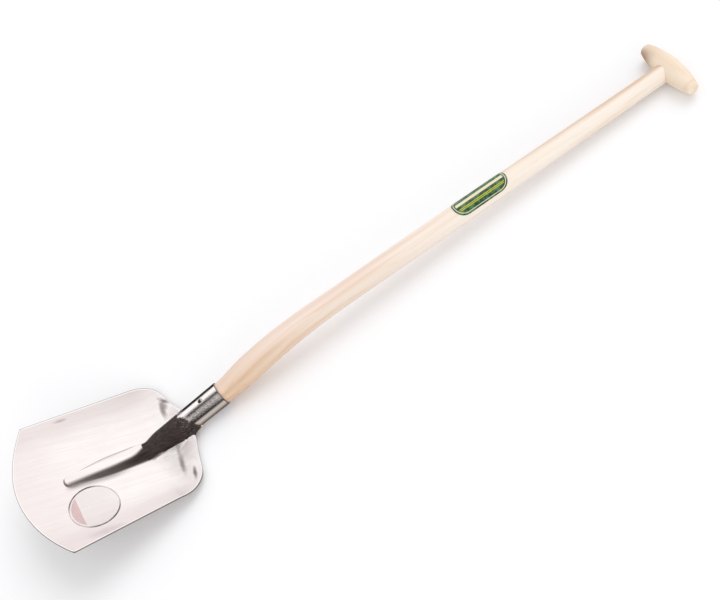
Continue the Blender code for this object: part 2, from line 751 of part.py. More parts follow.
build()
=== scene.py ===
"""Scoop shovel, the visual model: a pressed and brushed steel scoop on a bent ash shaft with a T-grip.

Every shape is worked out in the pan's own frame, in metres: the origin is the middle of the
cutting edge, +Y runs back to the socket and +Z rises out of the hollow. The finished points are
then laid down with the tool, so each piece's object stays at the world's origin.
"""

import json
import math

import bmesh
import bpy
import numpy as np
from bpy.props import FloatProperty, FloatVectorProperty, IntProperty, PointerProperty
from mathutils import Euler, Matrix, Vector


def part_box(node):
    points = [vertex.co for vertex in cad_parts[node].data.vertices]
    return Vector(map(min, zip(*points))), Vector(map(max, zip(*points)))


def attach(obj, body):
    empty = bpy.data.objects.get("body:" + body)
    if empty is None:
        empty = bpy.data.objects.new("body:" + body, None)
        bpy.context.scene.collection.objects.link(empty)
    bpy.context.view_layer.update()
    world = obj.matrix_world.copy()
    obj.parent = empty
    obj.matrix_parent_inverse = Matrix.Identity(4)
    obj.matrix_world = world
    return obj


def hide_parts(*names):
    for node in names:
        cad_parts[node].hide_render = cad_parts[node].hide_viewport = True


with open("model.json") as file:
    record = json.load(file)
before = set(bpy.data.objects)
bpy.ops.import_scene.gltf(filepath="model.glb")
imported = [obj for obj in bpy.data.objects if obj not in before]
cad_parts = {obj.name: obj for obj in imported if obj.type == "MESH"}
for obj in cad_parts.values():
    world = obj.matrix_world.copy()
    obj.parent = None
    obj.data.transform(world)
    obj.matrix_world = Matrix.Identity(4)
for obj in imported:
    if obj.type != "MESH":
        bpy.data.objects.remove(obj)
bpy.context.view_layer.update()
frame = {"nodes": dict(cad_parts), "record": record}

bl_info = {
    "name": "Scoop Shovel",
    "version": (1, 0, 0),
    "blender": (4, 5, 0),
    "location": "3D View > Sidebar > Scoop Shovel",
    "description": "Builds a scoop shovel's steel head, ash shaft, T-grip, nails and films",
    "category": "Add Mesh",
}

BODY = "root"
WELD = 0.00001
PAN_BACK = next(mount for mount in frame["record"]["mounts"] if mount["name"] == "pan_back")
TILT = math.atan2(-PAN_BACK["axis"][1], -PAN_BACK["axis"][2])
RIGHT = np.array((1.0, 0.0, 0.0))
NOWHERE = (0.0, 0.0, 0.0)
WHITE = (1.0, 1.0, 1.0)
GRIP_IN_LOG = (0.31, 0.17, 0.233)
BRUSHING_SLANT = math.radians(7.5)
ASH_GLOSS = 0.35

# How finely the surfaces are divided
PAN_ROWS = (36, 40, 64)
SHOULDER_ROWS = 77
TUBE_ROWS = 63
RIB_COLUMNS = 29
PAN_COLUMNS = 42
EVENING_PASSES = 40
SHAFT_ROWS = (24, 130, 170)
BARREL_ROWS = 120
MORTISE_STEPS = 80
HANDLE_FILM_GRID = (65, 49)
PAN_FILM_GRID = (24, 96)
FLOOR_STEPS = 96

# Painted reflection shade: soft dark marks on the pan where its curved shoulders and sides would mirror dark
# surroundings: place, turn, half length, half width and depth
REFLECTION_SHADE_MARKS = (
    ((-0.077, 0.295), 31.0, 0.020, 0.0055, 0.88),
    ((-0.069, 0.291), 12.0, 0.018, 0.0075, 0.70),
    ((-0.060, 0.286), -4.0, 0.026, 0.0070, 0.76),
    ((0.056, 0.268), 20.0, 0.055, 0.0340, 0.22),
    ((0.128, 0.112), 84.0, 0.045, 0.0120, 0.22),
    ((0.052, 0.274), -10.0, 0.040, 0.0070, 0.62),
    ((0.060, 0.272), -12.0, 0.018, 0.0050, 0.40),
    ((0.091, 0.283), -14.0, 0.020, 0.0050, 0.92),
    ((-0.126, 0.117), 84.0, 0.018, 0.0045, 0.42),
)
SATIN_PATCHES = (((0.044, 0.293), 0.030, 0.022), ((-0.040, 0.296), 0.020, 0.014))

# Borders of the forge scale: its reach to each side by the place back from the cutting edge, and
# its end by the place across, from the mouth along the socket
SCALE_RIGHT = ((0.222, 0.235, 0.256, 0.282, 0.293, 0.307), (0.0195, 0.0165, 0.0210, 0.0240, 0.0260, 0.0320))
SCALE_LEFT = ((0.222, 0.238, 0.252, 0.307), (0.0060, 0.0070, 0.0200, 0.0300))
SCALE_END = ((-0.022, -0.014, -0.003, 0.003, 0.013, 0.021), (-0.074, -0.086, -0.086, -0.077, -0.077, -0.066))

# Tints that the steel takes on
DARK_STREAK = (0.72, 0.60, 0.59)
DARK_CLOUD = (0.80, 0.64, 0.64)
DARKER_FRONT = (0.76, 0.62, 0.60)
# Painted reflection shade on the pan's curled sides
SIDE_REFLECTION_SHADE = (0.74, 0.64, 0.63)
# Painted reflection shade of the curved shoulders and sides
REFLECTION_SHADE = (0.20, 0.155, 0.155)
# Painted highlight and painted shade along the cut rim
RIM_HIGHLIGHT = (1.0, 0.99, 0.985)
RIM_SHADE = (0.16, 0.13, 0.13)
MOUTH_BROWN = (0.11, 0.075, 0.055)
# Painted shade on the rib's steep nose
NOSE_SHADE = (0.17, 0.105, 0.080)
SOCKET_GREY = (0.24, 0.20, 0.18)
# Painted shade in the pit round the front nail
NAIL_PIT_SHADE = (0.035, 0.026, 0.024)
# Painted reflection shade on the rib's right flank
FLANK_SHADE_BROWN = (0.17, 0.115, 0.090)
SCALE_GRAIN = (0.056, 0.040, 0.037)
PALE_FLECK = (0.40, 0.34, 0.31)

# Thin yellow lines and the broad pale one of the shaft's film: place across and half width
THIN_LINES = ((0.0085, 0.0006), (0.0112, 0.0006))
BROAD_LINE = (-0.001, 0.0030)

# Walls that the steel mirrors, as degrees round the tool's length from overhead, and level
WALLS_BY_SOCKET = (
    (-180.0, 0.10), (-150.0, 0.10), (-140.0, 0.04), (-74.0, 0.02), (-64.0, 0.95), (-58.0, 1.0), (-29.0, 1.0),
    (-23.0, 0.68), (-13.0, 0.62), (-6.0, 0.03), (9.0, 0.02), (18.0, 0.28), (27.0, 0.40), (44.0, 0.42),
    (53.0, 0.14), (58.0, 0.01), (90.0, 0.01), (98.0, 0.12), (106.0, 0.42), (113.0, 0.55), (128.0, 0.55),
    (140.0, 0.46), (151.0, 0.32), (162.0, 0.20), (174.0, 0.12),
)
WALLS_BY_PAN = (
    (-180.0, 0.45), (-110.0, 0.52), (-88.0, 0.84), (-74.0, 0.97), (-60.0, 0.98), (-46.0, 1.0),
    (-30.0, 1.0), (-16.0, 0.94), (0.0, 0.86), (28.0, 0.66), (40.0, 0.28), (50.0, 0.12),
    (62.0, 0.06), (92.0, 0.05), (108.0, 0.30), (130.0, 0.40), (170.0, 0.45),
)


# Kinds of setting

def length(name, description, default):
    """A size in metres."""
    return FloatProperty(name=name, description=description, default=default, unit="LENGTH", precision=5)


def angle(name, description, degrees):
    """An angle, given in degrees."""
    return FloatProperty(name=name, description=description, default=math.radians(degrees), subtype="ANGLE")


def share(name, description, default):
    """A share between 0 and 1."""
    kind = {"min": 0.0, "max": 1.0, "subtype": "FACTOR"}
    return FloatProperty(name=name, description=description, default=default, **kind)


def number(name, description, default):
    """A plain number."""
    return FloatProperty(name=name, description=description, default=default, precision=4)


def count(name, description, default):
    """A whole number."""
    return IntProperty(name=name, description=description, default=default, min=2)


def colour(name, description, default):
    """A linear colour."""
    kind = {"size": 3, "min": 0.0, "max": 1.0, "subtype": "COLOR"}
    return FloatVectorProperty(name=name, description=description, default=default, **kind)


class PanSettings(bpy.types.PropertyGroup):
    """Sizes of the dished pan."""

    sheet: length("Sheet", "Thickness of the steel", 0.0020)
    edge_width: length("Edge width", "Width between the corners of the cutting edge", 0.283)
    edge_bow: length("Edge bow", "How far the corners lie behind the middle of the edge", 0.0493)
    shoulder_width: length("Shoulder width", "Width where the sides end", 0.256)
    shoulder_y: length("Shoulder place", "Where the sides end, back from the edge", 0.2423)
    shoulder_length: length("Shoulder length", "From the sides' end to the heel", 0.0656)
    corner_lift: length("Corner lift", "Rise of the rim at the corners", 0.0074)
    shoulder_lift: length("Shoulder lift", "Rise of the rim where the sides end", 0.0171)
    heel_lift: length("Heel lift", "Rise of the rim at the heel", 0.0300)
    heel_half_width: length("Heel half width", "Half the width of the rim at the heel", 0.0315)
    fullness: number("Shoulder fullness", "Power of the superellipse round the shoulder", 2.4)
    flat_end_to_shoulder: length("Flat end", "From the end of the flat floor to the sides' end", 0.0103)
    heel_floor_lift: length("Heel floor lift", "Rise of the floor at the heel", 0.0240)
    heel_sweep: number("Heel sweep", "Power of the floor's rise to the heel", 1.8)
    flat_share: share("Flat share", "Share of the half width that stays flat", 0.40)
    side_curl: number("Side curl", "Power of the sides' curl", 1.8)


class RibSettings(bpy.types.PropertyGroup):
    """Sizes of the hollow-back rib."""

    nose_y: length("Nose place", "Front of the rib, back from the cutting edge", 0.0803)
    nose_length: length("Nose length", "Length of the rib's blunt end", 0.0150)
    nose_power: number("Nose power", "Power of the blunt end's outline", 2.8)
    nose_half_width: length("Nose half width", "Half the rib's width at its nose", 0.0115)
    half_width: length("Half width", "Half the rib's width at the neck", 0.0205)
    widens_over: length("Widens over", "Length over which the rib widens", 0.088)
    nose_height: length("Nose height", "Height of the rib at its nose", 0.0058)
    height: length("Height", "Height of the rib at the neck", 0.0140)
    climb: number("Climb", "Power of the rib's rise", 2.4)
    full_before_flat_end: length(
        "Full height", "How far before the flat's end the rib has its full height", 0.012
    )
    ridge: length("Ridge", "Where the flank meets the crown, out from the middle", 0.0098)
    flank: number("Flank", "Power of the flank's rise out of the pan", 1.25)
    round: share("Ridge round", "How softly flank and crown meet", 0.14)
    crown: share("Crown", "Fall of the crown from its middle to its foot", 0.16)
    root_fillet: length("Root fillet", "Reach of the fillet at the rib's foot", 0.011)


class SocketSettings(bpy.types.PropertyGroup):
    """Sizes of the rolled socket."""

    length: length("Length", "From heel to mouth", 0.0800)
    angle: angle("Angle", "Rise of the socket's axis above the pan", 29.5)
    above_heel: length("Above heel", "Axis above the rim at the heel", 0.0067)
    mouth_radius: length("Mouth radius", "Outer radius at the mouth", 0.0225)
    taper: number("Taper", "Radius gained for each metre along the axis", 0.0125)
    seam_gap: length("Seam gap", "Gap between the rolled edges at the mouth", 0.0026)
    tube_before: length("Tube begins", "How far before the flat's end the rib turns to a tube", 0.014)
    tube_after: length("Tube full", "How far after the flat's end the tube is whole", 0.020)
    heel_rim_angle: angle("Heel rim angle", "Where the rolled edge stands at the heel", 100.0)
    roll_from: share("Roll begins", "Share of the shoulder at which the roll begins", 0.45)
    seam_closed: share("Seam closed", "Share of the socket at which the seam is closed", 0.50)
    flare_end: share("Flare end", "Share of the socket at which the heel's flare has died away", 0.31)


class ShaftSettings(bpy.types.PropertyGroup):
    """Sizes of the bent ash shaft."""

    in_socket: length("In socket", "Length inside the socket", 0.086)
    tip_radius: length("Tip radius", "Radius of the hidden tip", 0.0150)
    tip_length: length("Tip length", "Length of the tip's chamfer", 0.010)
    knee_angle: angle("Knee angle", "Steepest heading, just past the socket", 36.0)
    knee_rise: length("Knee rise", "Length over which the heading steepens", 0.020)
    bend_start: length("Bend start", "Where the bend begins", 0.030)
    bend_end: length("Bend end", "Where the bend ends", 0.275)
    straight_angle: angle("Straight angle", "Heading of the straight part", 22.3)
    visible: length("Visible length", "From the mouth to the grip's centre", 0.9700)
    knee_radius: length("Knee radius", "Radius of the swell past the socket", 0.0237)
    knee_at: length("Knee place", "Where the swell is fullest", 0.070)
    radius: length("Radius", "Radius of the plain stretch", 0.0202)
    radius_at: length("Radius place", "Where the plain stretch begins", 0.280)
    taper_start: length("Taper start", "Where the long taper begins", 0.400)
    top_radius: length("Top radius", "Radius at the grip", 0.0165)
    clearance: length("Clearance", "Gap between the fitted pieces", 0.0003)
    steps: count("Steps", "Points round the shaft", 60)


class GripSettings(bpy.types.PropertyGroup):
    """Sizes of the turned T-grip and its joint."""

    length: length("Length", "Length of the barrel", 0.134)
    radius: length("Radius", "Radius at the middle", 0.0207)
    end_radius: length("End radius", "Radius at the ends", 0.0118)
    end_rounding: length("End rounding", "Rounding of the end's edge", 0.0035)
    fullness: number("Fullness", "Power of the barrel's swell", 2.2)
    tenon_radius: length("Tenon radius", "Radius of the shaft's tenon", 0.0120)
    let_in: length("Let in", "Depth to which the shaft's full width is let in", 0.0108)
    wedge_top: length("Wedge top", "Thickness of the wedge at its head", 0.0024)
    wedge_foot: length("Wedge foot", "Thickness of the wedge at its foot", 0.0010)
    wedge_length: length("Wedge length", "Length of the wedge", 0.024)
    steps: count("Steps", "Points round the barrel", 80)


class NailSettings(bpy.types.PropertyGroup):
    """Sizes of the two socket nails."""

    radius: length("Radius", "Radius of the shank", 0.0018)
    head_radius: length("Head radius", "Radius of the head", 0.0036)
    head_depth: length("Head depth", "Depth of the head's cone", 0.0016)
    length: length("Length", "Length of the nail", 0.026)
    point: length("Point", "Length of the point", 0.005)
    proud: length("Proud", "How far the head stands out", 0.0003)
    front_from_mouth: length("Front nail", "Front nail's distance from the mouth", 0.0340)
    back_from_mouth: length("Back nail", "Back nail's distance from the mouth", 0.0200)
    steps: count("Steps", "Points round a nail", 48)


class FilmSettings(bpy.types.PropertyGroup):
    """Sizes and colours of the two films."""

    thickness: length("Thickness", "Thickness of the films", 0.00025)
    handle_length: length("Handle film length", "Length of the film on the shaft", 0.110)
    handle_arc: angle("Handle film arc", "Angle that it takes of the shaft's round", 134.0)
    handle_at: length("Handle film place", "Its middle, along the shaft from the mouth", 0.566)
    handle_corner: length("Handle film corner", "Radius of its corners", 0.0222)
    pan_radius: length("Pan film radius", "Radius of the round film", 0.0435)
    pan_x: length("Pan film across", "Its centre, to the right", 0.068)
    pan_y: length("Pan film back", "Its centre, back from the cutting edge", 0.110)
    pan_lift: length("Pan film lift", "Its lower face above the sheet", 0.0004)
    handle_width: length("Handle film width", "Its width round the shaft", 0.0452)
    ground: colour("Ground", "Ground of the film on the shaft", (0.018, 0.075, 0.036))
    leaf: colour("Leaf", "Lighter clouds of its ground", (0.085, 0.210, 0.095))
    keyline: colour("Keyline", "Its keyline and its broad pale stripe", (0.83, 0.72, 0.50))
    stripe: colour("Stripe", "Its thin stripes", (0.62, 0.56, 0.03))
    clear: colour("Clear", "Tint of the round film", (0.86, 0.80, 0.79))
    rim: colour("Rim", "Thin ring near the round film's edge", (0.045, 0.035, 0.035))
    rose: colour("Rose", "Plain segment of the round film", (0.62, 0.20, 0.21))


class FinishSettings(bpy.types.PropertyGroup):
    """Colours of the steel and the wood."""

    steel: colour("Steel", "Bright steel", (0.990, 0.945, 0.937))
    scale: colour("Forge scale", "Scale left on the neck", (0.030, 0.021, 0.019))
    scorch: colour("Scorch", "Brown fringe of the scale", (0.135, 0.072, 0.038))
    steel_roughness: share("Steel roughness", "Roughness of the brushed pan", 0.24)
    nail: colour("Nail", "Steel of the nails", (0.72, 0.68, 0.66))
    ash: colour("Ash", "Pale wood of the shaft", (0.935, 0.855, 0.765))
    ash_streak: colour("Ash streak", "Darker grain of the shaft", (0.84, 0.660, 0.500))
    grip: colour("Grip", "Wood of the grip", (0.915, 0.775, 0.625))
    grip_streak: colour("Grip streak", "Darker grain of the grip", (0.76, 0.555, 0.385))
    wedge: colour("Wedge", "Wood of the wedge", (0.42, 0.26, 0.15))
    wedge_streak: colour("Wedge streak", "Darker grain of the wedge", (0.26, 0.14, 0.08))


class StageSettings(bpy.types.PropertyGroup):
    """Camera, floor and light."""

    camera_x: length("Camera right", "Camera to the right of the cutting edge", 1.27979887)
    camera_y: length("Camera back", "Camera back from the cutting edge", -0.09761991)
    camera_z: length("Camera up", "Camera above the pan", 1.70761041)
    camera_tip: angle("Camera tip", "Camera's turn about X in the pan's frame", 44.108116)
    camera_roll: angle("Camera roll", "Camera's turn about Y in the pan's frame", -1.488956)
    camera_swing: angle("Camera swing", "Camera's turn about Z in the pan's frame", 61.310749)
    lens: number("Lens", "Focal length in millimetres", 60.60)
    floor_radius: length("Floor radius", "Radius of the floor", 9.0)
    floor: colour("Floor", "Colour of the floor", (0.92, 0.92, 0.92))
    floor_seen: colour("Floor seen", "Colour of the floor where the camera sees it", (0.90, 0.90, 0.915))
    floor_glow: share("Floor glow", "Level of white that the camera adds to the floor", 0.06)
    ambient: number("Ambient", "Level of the soft light from all round", 0.84)
    key: number("Key", "Level of the soft key light", 0.75)
    key_width: angle("Key width", "How wide the key light is in the sky", 44.0)
    fill: number("Fill", "Level of the low light from the right", 0.45)
    fill_width: angle("Fill width", "How wide the low light is", 40.0)


class ShovelSettings(bpy.types.PropertyGroup):
    """All settings of the shovel."""

    pan: PointerProperty(type=PanSettings)
    rib: PointerProperty(type=RibSettings)
    socket: PointerProperty(type=SocketSettings)
    shaft: PointerProperty(type=ShaftSettings)
    grip: PointerProperty(type=GripSettings)
    nail: PointerProperty(type=NailSettings)
    film: PointerProperty(type=FilmSettings)
    finish: PointerProperty(type=FinishSettings)
    stage: PointerProperty(type=StageSettings)


# Blends

def smoothstep(t):
    """Ease from 0 to 1 with level ends: t squared times (3 - 2 t)."""
    t = np.clip(t, 0.0, 1.0)
    return t * t * (3.0 - 2.0 * t)


def rising(value, start, reach):
    """Ease from 0 at the start to 1 a reach further on."""
    return smoothstep((value - start) / reach)


def mix(a, b, weight):
    """Straight blend from a to b."""
    return a + (b - a) * weight


def full_turn(steps):
    """Even steps of angle once round."""
    return np.linspace(0.0, 2.0 * math.pi, steps, endpoint=False)


def soft_lower(a, b, width):
    """The lower of two heights, rounded where they cross: their blend less width h (1 - h)."""
    h = np.clip(0.5 + 0.5 * (b - a) / width, 0.0, 1.0)
    return mix(b, a, h) - width * h * (1.0 - h)


# Meshes

def lying_pose(tool):
    """Matrix from the pan's frame to the floor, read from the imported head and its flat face."""
    low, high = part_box("blade_and_socket")
    place = Vector((0.0, low.y + tool.pan.sheet * math.sin(TILT), high.z))
    return Matrix.Translation(place) @ Matrix.Rotation(-TILT, 4, "X")


def new_mesh(tool, name, points, faces):
    """Mesh of points in the pan's frame, turned and moved to where the tool lies."""
    pose = np.array(lying_pose(tool))
    mesh = bpy.data.meshes.new(name)
    mesh.from_pydata((points @ pose[:3, :3].T + pose[:3, 3]).tolist(), [], faces)
    mesh.update()
    return mesh


def pan_points(tool, mesh):
    """The way back: a mesh's points in the pan's frame."""
    pose = np.array(lying_pose(tool))
    points = np.empty(len(mesh.vertices) * 3)
    mesh.vertices.foreach_get("co", points)
    return (points.reshape(-1, 3) - pose[:3, 3]) @ pose[:3, :3]


def grid_quads(rows, columns, wrap=False):
    """Quads of a grid whose points run row by row; a wrapped grid joins its last column to its first."""
    row = np.arange(rows - 1)[:, None] * columns
    column = np.arange(columns if wrap else columns - 1)[None, :]
    after = (column + 1) % columns
    quads = np.stack((row + column, row + after, row + columns + after, row + columns + column), axis=-1)
    return quads.reshape(-1, 4)


def fan(pole, ring, turn_round=False):
    """Triangles from a pole to a closed ring of points."""
    after = np.roll(ring, -1)
    sides = (after, ring) if turn_round else (ring, after)
    return np.stack((np.full_like(ring, pole), *sides), axis=1).tolist()


def outward(mesh):
    """Weld a closed mesh and turn its faces outwards."""
    shape = bmesh.new()
    shape.from_mesh(mesh)
    bmesh.ops.remove_doubles(shape, verts=shape.verts, dist=WELD)
    bmesh.ops.recalc_face_normals(shape, faces=shape.faces)
    shape.to_mesh(mesh)
    shape.free()
    return mesh


def closed_rings(tool, name, rings, first, last):
    """Closed skin over rings of points, an array of ring by point by place, with a pole at each end."""
    many, around = rings.shape[:2]
    pole = many * around
    here = np.arange(around)
    points = np.concatenate((rings.reshape(-1, 3), [first, last]))
    ends = fan(pole, here, True) + fan(pole + 1, here + pole - around)
    return outward(new_mesh(tool, name, points, grid_quads(many, around, True).tolist() + ends))


def turned(tool, name, radii, heights, steps, origin, axis, across=RIGHT):
    """Profile turned about an axis: origin + height axis + radius (cos t across + sin t side)."""
    side = np.cross(axis, across)
    turn = full_turn(steps)[None, :, None]
    radius = np.asarray(radii)[:, None, None]
    height = np.asarray(heights)[:, None, None]
    rings = origin + height * axis + radius * (np.cos(turn) * across + np.sin(turn) * side)
    return closed_rings(tool, name, rings, origin + heights[0] * axis, origin + heights[-1] * axis)


def set_vectors(mesh, name, *parts):
    """Store a vector for each point of a mesh, from its three parts."""
    values = np.stack(np.broadcast_arrays(*parts), axis=-1)
    attribute = mesh.attributes.new(name, "FLOAT_VECTOR", "POINT")
    attribute.data.foreach_set("vector", np.ascontiguousarray(values, dtype=np.float32).ravel())


def add_object(name, data):
    """Object of a mesh, a light or a camera, at the world's origin."""
    obj = bpy.data.objects.new(name, data)
    bpy.context.scene.collection.objects.link(obj)
    return obj


def baked(obj):
    """Put the evaluated mesh in the object's place and drop its modifiers."""
    graph = bpy.context.evaluated_depsgraph_get()
    mesh = bpy.data.meshes.new_from_object(obj.evaluated_get(graph))
    mesh.name = obj.name
    obj.modifiers.clear()
    obj.data = mesh
    return obj


def cut(obj, cutters):
    """Cut an object with closed meshes, by the exact solver."""
    tools = [add_object("cutter", mesh) for mesh in cutters]
    for cutter in tools:
        modifier = obj.modifiers.new("cut", "BOOLEAN")
        modifier.operation = "DIFFERENCE"
        modifier.solver = "EXACT"
        modifier.object = cutter
    baked(obj)
    for cutter in tools:
        bpy.data.objects.remove(cutter, do_unlink=True)
    return obj


def finish_piece(obj, material, slot, *nodes, sharp=40.0):
    """Shade a piece, give it its finish and let it stand for its nodes."""
    obj.data.shade_smooth()
    obj.data.set_sharp_from_angle(angle=math.radians(sharp))
    obj.data.materials.clear()
    obj.data.materials.append(material)
    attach(obj, BODY)
    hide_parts(*nodes)


# Lines of the socket and the shaft

def along_of(rise):
    """Direction in the tool's middle plane at an angle above the pan."""
    return np.array((0.0, math.cos(rise), math.sin(rise)))


def front_of(rise):
    """Direction out of the front, square to along_of."""
    return np.array((0.0, -math.sin(rise), math.cos(rise)))


def heel_of(tool):
    """Point of the socket's axis over the heel."""
    pan = tool.pan
    return np.array((0.0, pan.shoulder_y + pan.shoulder_length, pan.heel_lift + tool.socket.above_heel))


def mouth_of(tool):
    """Centre of the socket's mouth."""
    return heel_of(tool) + along_of(tool.socket.angle) * tool.socket.length


def socket_radius(tool, along):
    """Outer radius at a distance along the axis, which is 0 at the mouth and negative inside."""
    return tool.socket.mouth_radius + tool.socket.taper * along


def shaft_heading(shaft, socket_angle, along):
    """Angle of the centre line above the pan: socket, knee, then the straight part, eased between."""
    steepened = mix(socket_angle, shaft.knee_angle, rising(along, 0.0, shaft.knee_rise))
    bend = rising(along, shaft.bend_start, shaft.bend_end - shaft.bend_start)
    return mix(steepened, shaft.straight_angle, bend)


def shaft_radius(tool, along):
    """Radius of the shaft: a slow cone in the socket, a swell at the knee, then a long taper."""
    shaft = tool.shaft
    in_socket = socket_radius(tool, np.minimum(along, 0.0)) - tool.pan.sheet - shaft.clearance
    swell = mix(in_socket, shaft.knee_radius, rising(along, 0.0, shaft.knee_at))
    waist = mix(swell, shaft.radius, rising(along, shaft.knee_at, shaft.radius_at - shaft.knee_at))
    return mix(waist, shaft.top_radius, rising(along, shaft.taper_start, shaft.visible - shaft.taper_start))


def shaft_line(tool, stations):
    """Centre points at the stations: the heading's steps added up from the mouth."""
    shaft = tool.shaft
    mouth = mouth_of(tool)
    axis = along_of(tool.socket.angle)
    fine = np.linspace(0.0, shaft.visible, 2000)
    heading = shaft_heading(shaft, tool.socket.angle, (fine[1:] + fine[:-1]) / 2.0)
    step = np.diff(fine)
    run = np.concatenate(([0.0], np.cumsum(np.cos(heading) * step)))
    lift = np.concatenate(([0.0], np.cumsum(np.sin(heading) * step)))
    inside = np.minimum(stations, 0.0)
    y = mouth[1] + np.interp(stations, fine, run) + inside * axis[1]
    z = mouth[2] + np.interp(stations, fine, lift) + inside * axis[2]
    return np.column_stack((np.zeros_like(y), y, z))


def grip_centre(tool):
    """Centre of the T-grip."""
    return shaft_line(tool, np.array([tool.shaft.visible]))[0]


# Head: pan, rib and socket in one sheet

def head_rows(tool):
    """Stations of the loft in three spans, pan, shoulder and tube: the first as the crest's distance
    from the cutting edge, close together round the rib's nose, the others as shares."""
    rib = tool.rib
    before = rib.nose_y - 0.005
    behind = rib.nose_y + rib.nose_length * 1.3
    pan = np.concatenate((
        np.linspace(0.0, before, PAN_ROWS[0], endpoint=False),
        np.linspace(before, behind, PAN_ROWS[1], endpoint=False),
        np.linspace(behind, tool.pan.shoulder_y - tool.pan.flat_end_to_shoulder, PAN_ROWS[2]),
    ))
    return pan, np.linspace(0.0, 1.0, SHOULDER_ROWS)[1:], np.linspace(0.0, 1.0, TUBE_ROWS)[1:]


def pan_rim(pan, along, shoulder, tube):
    """Rim of the pan: straight flared sides from the corners, then a quarter of a superellipse
    round the shoulder, whose x and y are powers of the cosine and sine of the turn. It stays at the
    heel along the tube."""
    side = along / (pan.shoulder_y - pan.flat_end_to_shoulder)
    turn = shoulder * math.pi / 2.0
    inward = 1.0 - np.clip(np.cos(turn), 0.0, 1.0) ** (2.0 / pan.fullness)
    onward = np.sin(turn) ** (2.0 / pan.fullness)
    shoulder_x = pan.shoulder_width / 2.0
    spans = (
        (mix(pan.edge_width / 2.0, shoulder_x, side), mix(shoulder_x, pan.heel_half_width, inward)),
        (mix(pan.edge_bow, pan.shoulder_y, side), pan.shoulder_y + pan.shoulder_length * onward),
        (mix(pan.corner_lift, pan.shoulder_lift, side), mix(pan.shoulder_lift, pan.heel_lift, inward)),
    )
    return [np.concatenate((a, b, np.full(len(tube), b[-1])))[:, None] for a, b in spans]


def side_lift(pan, x, rim_x):
    """Share of the rim's lift across the pan: none on the flat, then a power of the rest."""
    rest = (np.abs(x) / rim_x - pan.flat_share) / (1.0 - pan.flat_share)
    return np.clip(rest, 0.0, 1.0) ** pan.side_curl


def rib_reach(rib, x, y, half_width):
    """Distance out from the rib's middle line over its half width, joined by a power with the
    distance forward of the nose's centre, which gives the rib its blunt end."""
    forward = np.maximum(rib.nose_y + rib.nose_length - y, 0.0) / rib.nose_length
    return ((np.abs(x) / half_width) ** rib.nose_power + forward ** rib.nose_power) ** (1.0 / rib.nose_power)


def rib_profile(rib, x, y, half_width):
    """Height of the rib as a share of its crest: a crown that falls with the square of the reach,
    cut by a flank that rises out of the pan with a power, and rounded where they meet."""
    reach = rib_reach(rib, x, y, half_width)
    flank = np.maximum((1.0 - reach) / (1.0 - rib.ridge / half_width), 0.0) ** rib.flank
    crown = 1.0 - rib.crown * np.minimum(reach, 1.0) ** 2
    return soft_lower(crown, flank, rib.round)


def rib_half_width(rib, y):
    """Half the rib's width, which eases from nose to neck."""
    return mix(rib.nose_half_width, rib.half_width, rising(y, rib.nose_y, rib.widens_over))


